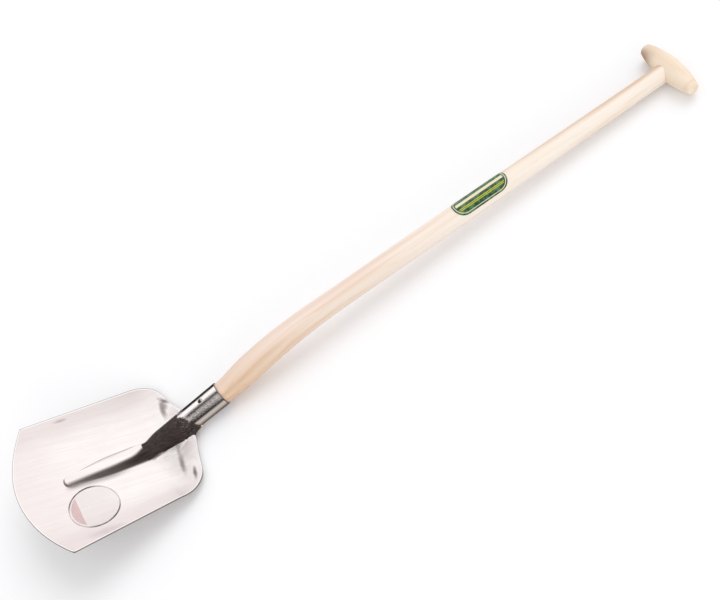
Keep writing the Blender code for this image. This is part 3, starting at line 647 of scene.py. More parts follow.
def head_surface(tool):
    """Right half of the sheet's outer face as a grid, and of each row the crest's y, the place along
    the socket, the x of the rib's foot and the x of the rim. Rows run from the cutting edge to the
    mouth. Columns run over the rib or the tube from the crest to its foot, and then over the pan to
    the rim, which rolls round the tube to the seam past the heel."""
    pan, rib, socket = tool.pan, tool.rib, tool.socket
    flat_rows, shoulder, tube_rows = head_rows(tool)
    flat_end = pan.shoulder_y - pan.flat_end_to_shoulder
    cosine, sine = math.cos(socket.angle), math.sin(socket.angle)
    heel, mouth = heel_of(tool), mouth_of(tool)
    heel_crest_y = heel[1] - socket_radius(tool, -socket.length) * sine
    mouth_crest_y = mouth[1] - socket.mouth_radius * sine
    crest_y = np.concatenate((
        flat_rows,
        mix(flat_end, heel_crest_y, shoulder),
        mix(heel_crest_y, mouth_crest_y, tube_rows),
    ))[:, None]
    shoulder_part = np.concatenate((flat_rows * 0.0, shoulder, tube_rows * 0.0 + 1.0))[:, None]
    socket_part = np.concatenate((flat_rows * 0.0, shoulder * 0.0, tube_rows))[:, None]
    rim_x, rim_y, rim_z = pan_rim(pan, flat_rows, shoulder, tube_rows)
    along = (crest_y - mouth_crest_y) / (cosine - socket.taper * sine)
    radius = socket_radius(tool, along)
    axis_y = mouth[1] + along * cosine
    axis_z = mouth[2] + along * sine
    heel_run = np.clip((crest_y - flat_end) / (heel_crest_y - flat_end), 0.0, 1.0)
    floor_z = pan.heel_floor_lift * heel_run ** pan.heel_sweep

    def round_axis(reach, turn):
        """Points at a reach from the socket's axis and a turn from its crest."""
        out = reach * np.cos(turn)
        return reach * np.sin(turn), axis_y - out * sine, axis_z + out * cosine

    # Crest to foot: the rib's hump gives way to the arc of the tube
    q = np.linspace(0.0, 1.0, RIB_COLUMNS)[None, :]
    rib_half = rib_half_width(rib, crest_y)
    rib_run = flat_end - rib.full_before_flat_end - rib.nose_y
    climb = np.clip((crest_y - rib.nose_y) / rib_run, 0.0, 1.0)
    rib_height = mix(rib.nose_height, rib.height, climb ** rib.climb)
    rib_x = rib_half * q
    rib_y = crest_y + (rim_y - crest_y) * (rib_x / rim_x) ** 2
    rib_z = floor_z + rib_height * rib_profile(rib, rib_x, crest_y, rib_half)
    foot_cosine = np.clip((floor_z - axis_z) / (radius * cosine), 0.0, 1.0)
    tube = round_axis(radius, np.arccos(foot_cosine) * q)
    tube_share = rising(crest_y, flat_end - socket.tube_before, socket.tube_before + socket.tube_after)
    inner = [mix(a, b, tube_share) for a, b in zip((rib_x, rib_y, rib_z), tube)]
    foot_x, foot_y, foot_z = (values[:, -1:] for values in inner)

    # Foot to rim: the pan, with a fillet against the rib and the tube
    p = np.linspace(0.0, 1.0, PAN_COLUMNS)[None, 1:]
    out = p ** 1.5
    pan_x = mix(foot_x, rim_x, out)
    bowed, foot_bowed = (crest_y + (rim_y - crest_y) * (x / rim_x) ** 2 for x in (pan_x, foot_x))
    pan_y = bowed + (foot_y - foot_bowed) * (1.0 - out)
    pan_z, foot_pan_z = (floor_z + (rim_z - floor_z) * side_lift(pan, x, rim_x) for x in (pan_x, foot_x))
    pan_z = pan_z + (foot_z - foot_pan_z) * (1.0 - rising(pan_x, foot_x, rib.root_fillet))

    # Past the heel the rim runs round the tube to the seam, with a flare that dies away
    mouth_seam = math.pi - socket.seam_gap / 2.0 / socket.mouth_radius
    rim_angle = mix(socket.heel_rim_angle, mouth_seam, rising(socket_part, 0.0, socket.seam_closed))
    fading = np.clip(1.0 - socket_part / socket.flare_end, 0.0, 1.0) ** 2
    flare = (rim_x / math.sin(socket.heel_rim_angle) - radius) * fading
    roll = round_axis(radius + flare * p ** 2, mix(math.pi / 2.0, rim_angle, p))
    roll_share = rising(shoulder_part, socket.roll_from, 1.0 - socket.roll_from)
    outer = [mix(a, b, roll_share) for a, b in zip((pan_x, pan_y, pan_z), roll)]
    half = np.stack([np.concatenate((a, b), axis=1) for a, b in zip(inner, outer)], axis=2)
    return half, crest_y, along, foot_x, rim_x


def scale_and_flank_shade(tool, x, crest_y, along, foot_x):
    """Share of forge scale on the neck, from the rib's end to the heel and a little way out into
    the pan, where it ends later down the socket's sides; and share of painted reflection shade
    before it, which comes on slowly along the rib's right flank and across its crown on a slant,
    with a fainter painted shade just beside the flank's foot."""
    begins = rising(crest_y, 0.2215, 0.004)
    right_edge = np.interp(crest_y, *SCALE_RIGHT)
    left_edge = np.interp(crest_y, *SCALE_LEFT)
    aside = 1.0 - rising(np.abs(x), mix(left_edge, right_edge, x > 0.0), 0.004)
    aside = mix(aside, 1.0, rising(along, -tool.socket.length, 0.002))
    ends = 1.0 - rising(along, np.interp(x, *SCALE_END) - 0.007, 0.014)

    slant = 0.0066 + 0.0016 * rising(crest_y, 0.11, 0.07)
    slant = slant - 0.0080 * (np.maximum(crest_y - 0.197, 0.0) / 0.026) ** 2
    on_flank = rising(x, slant - 0.0042, 0.0084) * (1.0 - rising(x, foot_x - 0.0030, 0.0055))
    depth = mix(0.57, 0.78, rising(crest_y, 0.085, 0.060))
    depth = mix(depth, 1.0, rising(crest_y, 0.150, 0.075)) * rising(crest_y, 0.082, 0.006)
    # Painted reflection shade along the rib's right flank, and fainter beside its foot
    flank_shade = on_flank * depth * ends * (1.0 - rising(crest_y, 0.235, 0.020))
    foot_shade = 0.30 * rising(x, foot_x - 0.0060, 0.0060) * (1.0 - rising(x, foot_x, 0.011))
    foot_shade = foot_shade * rising(crest_y, 0.075, 0.020) * (1.0 - rising(crest_y, 0.16, 0.04))
    return begins * ends * aside, np.maximum(flank_shade, foot_shade)


def nose_shade_share(rib, x, y):
    """Share of painted shade on the rib's steep nose face and, fainter, along the foot of its left flank."""
    reach = rib_reach(rib, x, y, rib_half_width(rib, y))
    at_foot = rising(reach, 0.80, 0.10) * (1.0 - rising(reach, 1.0, 0.04))
    at_nose = 1.0 - rising(y, rib.nose_y + 0.003, 0.005)
    at_left = 0.55 * (x < 0.0) * (1.0 - rising(y, 0.205, 0.015))
    return at_foot * np.maximum(at_nose, at_left)


def sheet_back(grid, thickness, weight):
    """Back of the sheet: the face moved by the thickness against its normals, which are the cross
    products of the grid's two directions, and then evened out by the weight over the rib, where the
    ridges are tighter than the thickness."""
    normal = np.cross(np.gradient(grid, axis=1), np.gradient(grid, axis=0))
    normal = normal / np.linalg.norm(normal, axis=2, keepdims=True)
    back = grid - thickness * normal
    weight = 0.5 * weight[1:-1, 1:-1, None]
    for _ in range(EVENING_PASSES):
        middle = back[1:-1, 1:-1]
        around = (back[:-2, 1:-1] + back[2:, 1:-1] + back[1:-1, :-2] + back[1:-1, 2:]) / 4.0
        back[1:-1, 1:-1] = middle + (around - middle) * weight
    return back


def build_head(tool):
    """The half face mirrored about the middle plane and joined to its back round the rims, which
    are rounded, and cut for the nails. Each point keeps its share of forge scale, its share of
    painted shade on the rib's flank and its place."""
    half, crest_y, along, foot_x, rim_x = head_surface(tool)
    half[:, 0, 0] = 0.0
    grid = np.concatenate((half[:, :0:-1] * np.array((-1.0, 1.0, 1.0)), half), axis=1)
    rows, columns = grid.shape[:2]
    x = grid[:, :, 0]

    over_rib = 1.0 - rising(np.abs(x), foot_x, 0.004)
    beside_rib = rising(crest_y, tool.rib.nose_y - 0.010, 0.006) * (1.0 - rising(crest_y, 0.270, 0.030))
    back = sheet_back(grid, tool.pan.sheet, beside_rib * over_rib)
    here = np.arange(rows * columns).reshape(rows, columns)
    border = np.concatenate((here[0, :-1], here[:-1, -1], here[-1, :0:-1], here[:0:-1, 0]))
    after = np.roll(border, -1)
    behind = rows * columns
    front_quads = grid_quads(rows, columns)
    rim_quads = np.stack((border, after, after + behind, border + behind), axis=1)
    quads = np.concatenate((front_quads, front_quads[:, ::-1] + behind, rim_quads[:, ::-1]))
    points = np.concatenate((grid.reshape(-1, 3), back.reshape(-1, 3)))
    mesh = new_mesh(tool, "brushed_blade", points, quads.tolist())

    from_rim = np.minimum(rim_x - np.abs(x) + np.maximum(crest_y - 0.295, 0.0), crest_y)
    scale, flank_shade = scale_and_flank_shade(tool, x, crest_y, along, foot_x)
    for name, parts in (
        ("marks", (scale, flank_shade, crest_y)),
        ("rims", (from_rim, -along, nose_shade_share(tool.rib, x, crest_y))),
    ):
        set_vectors(mesh, name, *(np.tile(np.broadcast_to(part, x.shape).ravel(), 2) for part in parts))
    head = add_object("brushed_blade", outward(mesh))
    edge = head.modifiers.new("rims", "BEVEL")
    edge.width = 0.0004
    edge.segments = 2
    edge.limit_method = "ANGLE"
    edge.angle_limit = math.radians(55.0)
    edge.use_clamp_overlap = True
    return cut(baked(head), nail_holes(tool))


# Nails

def nail_places(tool):
    """Distance from the mouth and outward direction of the front and the back nail."""
    front = front_of(tool.socket.angle)
    return ((tool.nail.front_from_mouth, front), (tool.nail.back_from_mouth, -front))


def nail_root(tool, from_mouth, out):
    """Where a nail's axis meets the socket's skin."""
    return mouth_of(tool) - along_of(tool.socket.angle) * from_mouth + out * socket_radius(tool, -from_mouth)


def nail_mesh(tool, name, from_mouth, out, spare):
    """Turned nail: a low domed head, a countersunk cone, a shank and a point, widened by the spare."""
    nail = tool.nail
    dome = np.linspace(0.0, math.pi / 2.0, 7)[1:]
    head, shank, top = nail.head_radius + spare, nail.radius + spare, nail.proud + spare
    radii = [head * 0.02, *(head * np.sin(dome)), head, shank, shank, 0.0001]
    heights = [
        top,
        *(-nail.proud + (top + nail.proud) * np.cos(dome)),
        -nail.proud,
        -(nail.head_depth + spare),
        -(nail.length - nail.point),
        -(nail.length + spare * 2.0),
    ]
    return turned(tool, name, radii, heights, nail.steps, nail_root(tool, from_mouth, out), out)


def nail_holes(tool):
    """Cutters for both nails, a clearance wider than they are."""
    return [nail_mesh(tool, "hole", *place, tool.shaft.clearance) for place in nail_places(tool)]


# Shaft

def barrel_radius(grip, x):
    """Radius of the barrel at a distance from its middle: from full to end radius by a power."""
    straight = grip.length / 2.0 - grip.end_rounding
    return mix(grip.radius, grip.end_radius, np.abs(x / straight) ** grip.fullness)


def build_shaft(tool):
    """Rings of the tapering radius along the bent centre line, then the tenon, whose end lies on
    the barrel: its height is the root of the barrel's radius squared less the square across."""
    shaft, grip = tool.shaft, tool.grip
    shoulder = grip.radius - grip.let_in
    tip = -shaft.in_socket
    stations = np.concatenate((
        tip + shaft.tip_length * np.array((0.0, 0.25, 0.5, 0.75, 1.0)),
        np.linspace(tip + shaft.tip_length * 1.4, -0.002, SHAFT_ROWS[0], endpoint=False),
        np.linspace(-0.002, shaft.bend_end, SHAFT_ROWS[1], endpoint=False),
        np.linspace(shaft.bend_end, shaft.visible - shoulder - shaft.clearance, SHAFT_ROWS[2]),
    ))
    radii = shaft_radius(tool, stations)
    radii[:5] = mix(shaft.tip_radius, radii[4], np.sin(np.linspace(0.0, 1.0, 5) * math.pi / 2.0))
    heading = shaft_heading(shaft, tool.socket.angle, stations)[:, None, None]
    turn = full_turn(shaft.steps)[None, :, None]
    front = np.concatenate((heading * 0.0, -np.sin(heading), np.cos(heading)), axis=2)
    centre = shaft_line(tool, stations)[:, None, :]
    rings = centre + radii[:, None, None] * (np.sin(turn) * RIGHT + np.cos(turn) * front)

    top = grip_centre(tool)
    axis, across = along_of(shaft.straight_angle), front_of(shaft.straight_angle)
    x = grip.tenon_radius * np.sin(turn)
    f = grip.tenon_radius * np.cos(turn)
    shrink = np.array((1.0, 0.97, 0.8, 0.6, 0.4, 0.2))[:, None, None]
    flush = np.sqrt(barrel_radius(grip, x * shrink) ** 2 - (f * shrink) ** 2)
    rise = np.linspace(0.0, 1.0, 8)[:, None, None]
    tenon = top + mix(-shoulder - shaft.clearance, flush[:1], rise) * axis + x * RIGHT + f * across
    cap = (top + flush * axis + shrink * (x * RIGHT + f * across))[1:]
    rings = np.concatenate((rings, tenon, cap))
    foot = shaft_line(tool, np.array([tip]))[0]
    mesh = closed_rings(tool, "bent_shaft", rings, foot, top + grip.radius * axis)
    obj = cut(add_object("bent_shaft", mesh), nail_holes(tool) + [kerf_mesh(tool)])
    set_vectors(obj.data, "grain", *shaft_grain(tool, pan_points(tool, obj.data)))
    return obj


def shaft_grain(tool, points):
    """Place of each point in the straightened shaft: across, to the front, and along the line."""
    shaft = tool.shaft
    fine = np.linspace(-shaft.in_socket, shaft.visible, 3000)
    line = shaft_line(tool, fine)
    nearest = np.empty(len(points), dtype=int)
    for part in np.array_split(np.arange(len(points)), 40):
        gap = points[part, None, 1:] - line[None, :, 1:]
        nearest[part] = (gap[:, :, 0] ** 2 + gap[:, :, 1] ** 2).argmin(axis=1)
    heading = shaft_heading(shaft, tool.socket.angle, fine)[nearest]
    away = points - line[nearest]
    to_front = -np.sin(heading) * away[:, 1] + np.cos(heading) * away[:, 2]
    onward = np.cos(heading) * away[:, 1] + np.sin(heading) * away[:, 2]
    return points[:, 0], to_front, fine[nearest] + onward


def kerf_mesh(tool):
    """Saw cut for the wedge: a tapered slot, a clearance wider than the wedge on every side."""
    grip, spare, above = tool.grip, tool.shaft.clearance, 0.002
    axis, across = along_of(tool.shaft.straight_angle), front_of(tool.shaft.straight_angle)
    top = grip_centre(tool) + axis * grip.radius
    slope = (grip.wedge_top - grip.wedge_foot) / grip.wedge_length
    foot = -(grip.wedge_length + spare)
    end = grip.tenon_radius - spare / 2.0 + above
    height = np.array((foot, above))[:, None]
    half = (grip.wedge_top + slope * height) / 2.0 + spare
    x = half * np.array((1.0, -1.0, -1.0, 1.0))
    f = end * np.array((1.0, 1.0, -1.0, -1.0)) + height * 0.0
    rings = top + height[:, :, None] * axis + x[:, :, None] * RIGHT + f[:, :, None] * across
    return closed_rings(tool, "kerf", rings, top + foot * axis, top + above * axis)


# T-grip

def build_grip(tool):
    """Barrel turned about X: its radius falls with a power of the distance from the middle, and a
    quarter circle rounds each end's edge. It is bored for the tenon and let in for the shaft."""
    grip, shaft = tool.grip, tool.shaft
    straight = grip.length / 2.0 - grip.end_rounding
    heights = straight * np.sin(np.linspace(-1.0, 1.0, BARREL_ROWS) * math.pi / 2.0)
    corner = np.linspace(0.0, math.pi / 2.0, 9)[1:]
    drop = grip.end_radius - grip.end_rounding * (1.0 - np.cos(corner))
    ends = straight + grip.end_rounding * np.sin(corner)
    face = drop[-1] * np.array((0.75, 0.5, 0.25))
    face_height = np.full(3, ends[-1])
    radii = np.concatenate((face[::-1], drop[::-1], barrel_radius(grip, heights), drop, face))
    heights = np.concatenate((-face_height, -ends[::-1], heights, ends, face_height))
    centre = grip_centre(tool)
    axis = along_of(shaft.straight_angle)
    barrel = turned(tool, "turned_grip", radii, heights, grip.steps, centre, RIGHT, axis)
    obj = add_object("turned_grip", barrel)
    reach = grip.radius * 1.5
    shoulder = grip.radius - grip.let_in
    bore = grip.tenon_radius + shaft.clearance
    seat = shaft.top_radius + shaft.clearance
    profile = ([seat, seat, bore, bore], [-reach, -shoulder, -shoulder, reach])
    cut(obj, [turned(tool, "mortise", *profile, MORTISE_STEPS, centre, axis)])
    points = pan_points(tool, obj.data) - centre
    set_vectors(obj.data, "grain", points @ axis, points @ front_of(shaft.straight_angle), points[:, 0])
    return obj


# Films

def thick_film(tool, mesh):
    """Object of a film, with its thickness underneath."""
    obj = add_object(mesh.name, mesh)
    wall = obj.modifiers.new("film", "SOLIDIFY")
    wall.thickness = tool.film.thickness
    wall.offset = -1.0
    return baked(obj)


def build_handle_film(tool):
    """Film round the front of the shaft, whose half arc is cut back at the corners by a quarter
    circle. Each point keeps its place: across and along, in metres from the middle."""
    film, shaft = tool.film, tool.shaft
    rows, columns = HANDLE_FILM_GRID
    half = film.handle_length / 2.0
    onward = half * np.sin(np.linspace(-1.0, 1.0, rows) * math.pi / 2.0)
    crosswise = np.linspace(-1.0, 1.0, columns)[None, :]
    stations = film.handle_at + onward
    radii = (shaft_radius(tool, stations) + shaft.clearance + film.thickness)[:, None]
    cut_in = np.maximum(np.abs(onward) - (half - film.handle_corner), 0.0)[:, None]
    corner = film.handle_corner - np.sqrt(np.maximum(film.handle_corner ** 2 - cut_in ** 2, 0.0))
    turn = (film.handle_arc / 2.0 - corner / radii) * crosswise
    side = (radii * np.sin(turn))[:, :, None] * RIGHT
    lift = (radii * np.cos(turn))[:, :, None] * front_of(shaft.straight_angle)
    points = (shaft_line(tool, stations)[:, None, :] + side + lift).reshape(-1, 3)
    mesh = new_mesh(tool, "handle_film", points, grid_quads(rows, columns).tolist())
    set_vectors(mesh, "place", turn * radii, onward[:, None], 0.0)
    return thick_film(tool, mesh)


def pan_height(pan, x, y):
    """Height of the hollow's face beside the rib: the loft's bowed row through the place is found
    by a few steps of the row's own rule, then its lift is read."""
    crest_y = y
    for _ in range(6):
        side = crest_y / (pan.shoulder_y - pan.flat_end_to_shoulder)
        rim_x = mix(pan.edge_width / 2.0, pan.shoulder_width / 2.0, side)
        rim_y = mix(pan.edge_bow, pan.shoulder_y, side)
        crest_y = y - (rim_y - crest_y) * (x / rim_x) ** 2
    return mix(pan.corner_lift, pan.shoulder_lift, side) * side_lift(pan, x, rim_x)


def build_pan_film(tool):
    """Round film in the hollow: rings about its centre, at the height of the sheet plus a lift.
    Each point keeps its place from the middle."""
    film = tool.film
    rings, around = PAN_FILM_GRID
    radius = np.linspace(0.0, 1.0, rings + 1)[1:, None] * film.pan_radius
    turn = full_turn(around)[None, :]
    x = np.append(film.pan_x, film.pan_x + radius * np.cos(turn))
    y = np.append(film.pan_y, film.pan_y + radius * np.sin(turn))
    points = np.column_stack((x, y, pan_height(tool.pan, x, y) + film.pan_lift + film.thickness))
    quads = (grid_quads(rings, around, True)[:, ::-1] + 1).tolist()
    mesh = new_mesh(tool, "pan_film", points, fan(0, np.arange(around) + 1) + quads)
    set_vectors(mesh, "place", x - film.pan_x, y - film.pan_y, 0.0)
    return thick_film(tool, mesh)


# Shader nodes

class Field:
    """What a shader node puts out over a surface. Sums, products and the like are made as nodes."""

    def __init__(self, tree, socket):
        self.tree = tree
        self.socket = socket

    def math(self, operation, *others):
        """Math node over this value and others."""
        inputs = dict(enumerate((self, *others)))
        return outputs_of(self.tree, "ShaderNodeMath", inputs, operation=operation)[0]

    def __add__(self, other):
        return self.math("ADD", other)

    def __sub__(self, other):
        return self.math("SUBTRACT", other)

    def __rsub__(self, other):
        return outputs_of(self.tree, "ShaderNodeMath", {0: other, 1: self}, operation="SUBTRACT")[0]

    def __mul__(self, other):
        return self.math("MULTIPLY", other)

    def __abs__(self):
        return self.math("ABSOLUTE")

    def most(self, other):
        """The larger of this value and another."""
        return self.math("MAXIMUM", other)

    def eased(self, low, high, first=0.0, last=1.0):
        """This value carried smoothly from low and high to first and last."""
        inputs = {"Value": self, "From Min": low, "From Max": high, "To Min": first, "To Max": last}
        return outputs_of(self.tree, "ShaderNodeMapRange", inputs, interpolation_type="SMOOTHSTEP")["Result"]

    def fading(self, low, high):
        """1 below low, easing to 0 at high."""
        return self.eased(low, high, 1.0, 0.0)

    def between(self, a, b):
        """Colour a where this value is 0 and b where it is 1."""
        ends = {key: tint if isinstance(tint, Field) else (*tint, 1.0) for key, tint in ((6, a), (7, b))}
        return outputs_of(self.tree, "ShaderNodeMix", {0: self, **ends}, data_type="RGBA")[2]

    def tinted(self, other):
        """This colour multiplied by another."""
        inputs = {0: 1.0, 6: self, 7: other}
        return outputs_of(self.tree, "ShaderNodeMix", inputs, data_type="RGBA", blend_type="MULTIPLY")[2]

    def parts(self):
        """X, Y and Z of this vector."""
        made = outputs_of(self.tree, "ShaderNodeSeparateXYZ", {0: self})
        return made["X"], made["Y"], made["Z"]

    def length(self):
        """Length of this vector."""
        return outputs_of(self.tree, "ShaderNodeVectorMath", {0: self}, operation="LENGTH")["Value"]

    def mapped(self, location=NOWHERE, rotation=NOWHERE, scale=WHITE, kind="POINT"):
        """This vector scaled, turned and moved, or the way back with the kind TEXTURE."""
        inputs = {"Vector": self, "Location": location, "Rotation": rotation, "Scale": scale}
        return outputs_of(self.tree, "ShaderNodeMapping", inputs, vector_type=kind)["Vector"]

    def noise(self, scale, detail, roughness):
        """Noise over this vector, at one scale or at one for each axis."""
        even = isinstance(scale, float)
        vector = self if even else self.mapped(scale=scale)
        inputs = {"Vector": vector, "Scale": scale if even else 1.0, "Detail": detail, "Roughness": roughness}
        return outputs_of(self.tree, "ShaderNodeTexNoise", inputs)["Fac"]

    def bumped(self, distance, strength):
        """Normal of this height in metres."""
        inputs = {"Height": self, "Distance": distance, "Strength": strength}
        return outputs_of(self.tree, "ShaderNodeBump", inputs)["Normal"]


def fill(tree, sockets, values):
    """Set each socket to its value, or link it."""
    for key, value in values.items():
        if isinstance(value, Field):
            tree.links.new(value.socket, sockets[key])
        else:
            sockets[key].default_value = value


def outputs_of(tree, kind, inputs=None, **settings):
    """Add a node, set its options and its inputs, and give its outputs by place and by name."""
    node = tree.nodes.new(kind)
    for name, value in settings.items():
        setattr(node, name, value)
    fill(tree, node.inputs, inputs or {})
    fields = [Field(tree, socket) for socket in node.outputs]
    return {**dict(enumerate(fields)), **{field.socket.name: field for field in fields}}


def new_group(name, inputs, outputs):
    """Node group with named sockets, each of a kind."""
    tree = bpy.data.node_groups.new(name, "ShaderNodeTree")
    for side, sockets in (("INPUT", inputs), ("OUTPUT", outputs)):
        for socket, kind in sockets.items():
            tree.interface.new_socket(name=socket, in_out=side, socket_type="NodeSocket" + kind)
    return tree, outputs_of(tree, "NodeGroupInput"), tree.nodes.new("NodeGroupOutput").inputs


def new_material(name):
    """Material with a Principled shader, its tree and the shader's inputs."""
    material = bpy.data.materials.new(name)
    material.use_nodes = True
    return material, material.node_tree, material.node_tree.nodes["Principled BSDF"].inputs


def brushed_lines_group():
    """Brushing along the vector's Y: broad, middling and fine streaks, and soft clouds."""
    if "brushed_lines" in bpy.data.node_groups:
        return bpy.data.node_groups["brushed_lines"]
    made_of = {"Streaks": "Float", "Clouds": "Float", "Height": "Float"}
    tree, given, made = new_group("brushed_lines", {"Vector": "Vector"}, made_of)
    vector = given["Vector"]
    broad = vector.noise((110.0, 7.0, 60.0), 3.0, 0.55)
    middling = vector.noise((420.0, 14.0, 200.0), 3.0, 0.6)
    fine = vector.noise((2400.0, 40.0, 900.0), 2.0, 0.6)
    fill(tree, made, {
        "Streaks": broad * 0.45 + middling * 0.35 + fine * 0.20,
        "Clouds": vector.noise(16.0, 4.0, 0.55),
        "Height": middling * 0.5 + fine * 0.5,
    })
    return tree


def ash_grain_group():
    """Ring-porous wood along the vector's Z: year rings of a bent distance across, broad warm
    streaks, fine fibres and short dark pores, as a colour, a roughness and a height."""
    if "ash_grain" in bpy.data.node_groups:
        return bpy.data.node_groups["ash_grain"]
    tree, given, made = new_group(
        "ash_grain",
        {"Vector": "Vector", "Light": "Color", "Dark": "Color", "Streaks": "Float", "Rings": "Float"},
        {"Colour": "Color", "Roughness": "Float", "Height": "Float"},
    )
    vector = given["Vector"]
    x, y, _ = vector.parts()
    saw = ((x * 0.86 + y * 0.51) * 330.0 + vector.noise((30.0, 30.0, 1.6), 2.0, 0.5) * 7.0).math("FRACT")
    rings = saw.eased(0.55, 0.98).most(saw.fading(0.0, 0.12))
    broad = vector.noise((85.0, 85.0, 3.2), 2.0, 0.5).eased(0.42, 0.74)
    fibre = vector.noise((900.0, 900.0, 14.0), 3.0, 0.6)
    pores = vector.noise((2600.0, 2600.0, 160.0), 1.0, 0.5).eased(0.60, 0.72) * (rings * 0.8 + 0.1)
    dark = broad * given["Streaks"] + rings * given["Rings"] + (fibre - 0.5) * 0.30 + pores * 0.22
    fill(tree, made, {
        "Colour": dark.most(0.0).math("MINIMUM", 1.0).between(given["Light"], given["Dark"]),
        "Roughness": fibre * 0.16 + 0.46,
        "Height": fibre * 0.5 - pores * 0.8,
    })
    return tree


def object_place(tree):
    """Object coordinates."""
    return outputs_of(tree, "ShaderNodeTexCoord")["Object"]


def pan_place(tool, tree):
    """Object coordinates turned back into the pan's frame."""
    place = lying_pose(tool).inverted().to_translation()
    return object_place(tree).mapped(tuple(place), (TILT, 0.0, 0.0))


def stored(tree, name):
    """Vector that a piece keeps at its points."""
    return outputs_of(tree, "ShaderNodeAttribute", attribute_name=name)["Vector"]


def smudge(vector, wobble, place, degrees, half_length, half_width):
    """Soft long mark on the pan: 1 at its middle, falling to none at a rough oval."""
    turn = (0.0, 0.0, math.radians(degrees))
    flat = vector.mapped((*place, 0.0), turn, (half_length, half_width, 10.0), "TEXTURE")
    return (flat.length() + wobble * 0.5).fading(0.35, 1.25)


# Finishes

def brushed_steel(tool):
    """Bright steel brushed nearly along the pan, smoother on the socket, with forge scale on the
    neck: near black, ragged at its edge, brown where it thins, and flecked."""
    finish = tool.finish
    material, tree, shader = new_material("brushed_steel_with_scale")
    vector = pan_place(tool, tree)
    across, onward, _ = vector.parts()
    slanted = vector.mapped(rotation=(0.0, 0.0, BRUSHING_SLANT))
    lines = outputs_of(tree, "ShaderNodeGroup", node_tree=brushed_lines_group(), inputs={"Vector": slanted})
    covered, flank_shade, back = stored(tree, "marks").parts()
    ragged = vector.noise((260.0, 110.0, 260.0), 4.0, 0.65)
    uneven = ragged - 0.5
    at_neck_end = back.eased(0.268, 0.290)
    on_socket = back.eased(0.300, 0.310)
    edge = covered + uneven * (at_neck_end * 1.9 + 0.2)
    inside = covered.eased(0.02, 0.10)

    # Bright sheet: brushed streaks, faint clouds, darker to the front, painted reflection shade towards the
    # curled sides and in soft marks at the shoulders
    steel = (lines["Streaks"].eased(0.34, 0.66) * 0.20).between(finish.steel, DARK_STREAK)
    steel = (lines["Clouds"].eased(0.35, 0.70) * 0.14).between(steel, DARK_CLOUD)
    steel = (onward + across * -0.30).eased(-0.02, 0.17, 0.30, 0.0).between(steel, DARKER_FRONT)
    # Painted reflection shade: darker towards the curled sides
    steel = abs(across).eased(0.070, 0.122, 0.0, 0.44).between(steel, SIDE_REFLECTION_SHADE)
    wobble = vector.noise((90.0, 90.0, 0.0), 3.0, 0.6)
    # Painted reflection shade: soft dark marks where the curved shoulders would mirror dark surroundings
    for *oval, depth in REFLECTION_SHADE_MARKS:
        steel = (smudge(vector, wobble, *oval) * depth).between(steel, REFLECTION_SHADE)

    # The cut rim: a painted shade line at its very edge and a painted highlight line inside it, and a brown
    # one at the mouth
    from_rim, from_mouth, brown = stored(tree, "rims").parts()
    # Painted highlight inside the rim and painted shade at its very edge
    rim_highlight = from_rim.eased(0.0006, 0.0012) * from_rim.fading(0.0020, 0.0032)
    steel = (rim_highlight * 0.8).between(steel, RIM_HIGHLIGHT)
    steel = from_rim.eased(0.0005, 0.0011, 0.75, 0.0).between(steel, RIM_SHADE)
    steel = from_mouth.eased(0.0006, 0.0022, 0.85, 0.0).between(steel, MOUTH_BROWN)
    # Painted shade on the rib's steep nose face and along its left flank's foot
    steel = (brown * 0.85).between(steel, NOSE_SHADE)

    # Mottled grey down the middle of the socket, and painted shade in the pit round the front nail
    mottle = vector.noise((520.0, 330.0, 520.0), 4.0, 0.7)
    in_front = across.eased(0.0015, 0.0050) * across.fading(0.0140, 0.0175)
    mottled = mottle.eased(0.44, 0.62) * on_socket * in_front
    steel = (mottled * 0.50).between(steel, SOCKET_GREY)
    pit = nail_root(tool, *nail_places(tool)[0]) - RIGHT * 0.0002 - along_of(tool.socket.angle) * 0.0020
    from_pit = vector.mapped(tuple(pit), kind="TEXTURE").length()
    # Painted shade in the pit round the front nail
    pit_shade = (from_pit + uneven * 0.003).fading(0.0032, 0.0050)
    steel = (pit_shade * 0.95).between(steel, NAIL_PIT_SHADE)

    # Scale and the painted reflection shade of the rib's right flank over it
    rusty = edge.eased(0.14, 0.46) * inside * at_neck_end.eased(0.0, 1.0, 0.12, 0.95)
    steel = rusty.between(steel, finish.scorch)
    # Painted reflection shade along the rib's right flank, brownish and then as dark as the scale
    steel = (flank_shade * 0.9).between(steel, FLANK_SHADE_BROWN)
    scale = (edge.eased(0.40, 0.62) * inside).most(flank_shade)
    grain = vector.noise((240.0, 26.0, 240.0), 3.0, 0.6)
    dark = grain.eased(0.36, 0.66).between(finish.scale, SCALE_GRAIN)
    fleck = vector.noise((700.0, 300.0, 700.0), 2.0, 0.6).eased(0.60, 0.68)
    dark = (fleck * back.eased(0.279, 0.292, 0.0, 0.85)).between(dark, PALE_FLECK)

    rough = lines["Streaks"] * 0.14 + (finish.steel_roughness - 0.07) - on_socket * 0.13
    for place, half_length, half_width in SATIN_PATCHES:
        satin = smudge(vector, wobble, place, 0.0, half_length, half_width) * (1.0 - on_socket)
        rough = rough + satin * 0.30
    height = lines["Height"] + ragged * scale * 2.0 + mottle * on_socket * 3.0
    fill(tree, shader, {
        "Base Color": scale.between(steel, dark),
        "Metallic": 1.0 - scale * 0.90,
        "Roughness": rough + scale * 0.30,
        "Specular IOR Level": 0.5 - scale * 0.3,
        "Normal": height.bumped(0.00005, 0.55),
    })
    return material


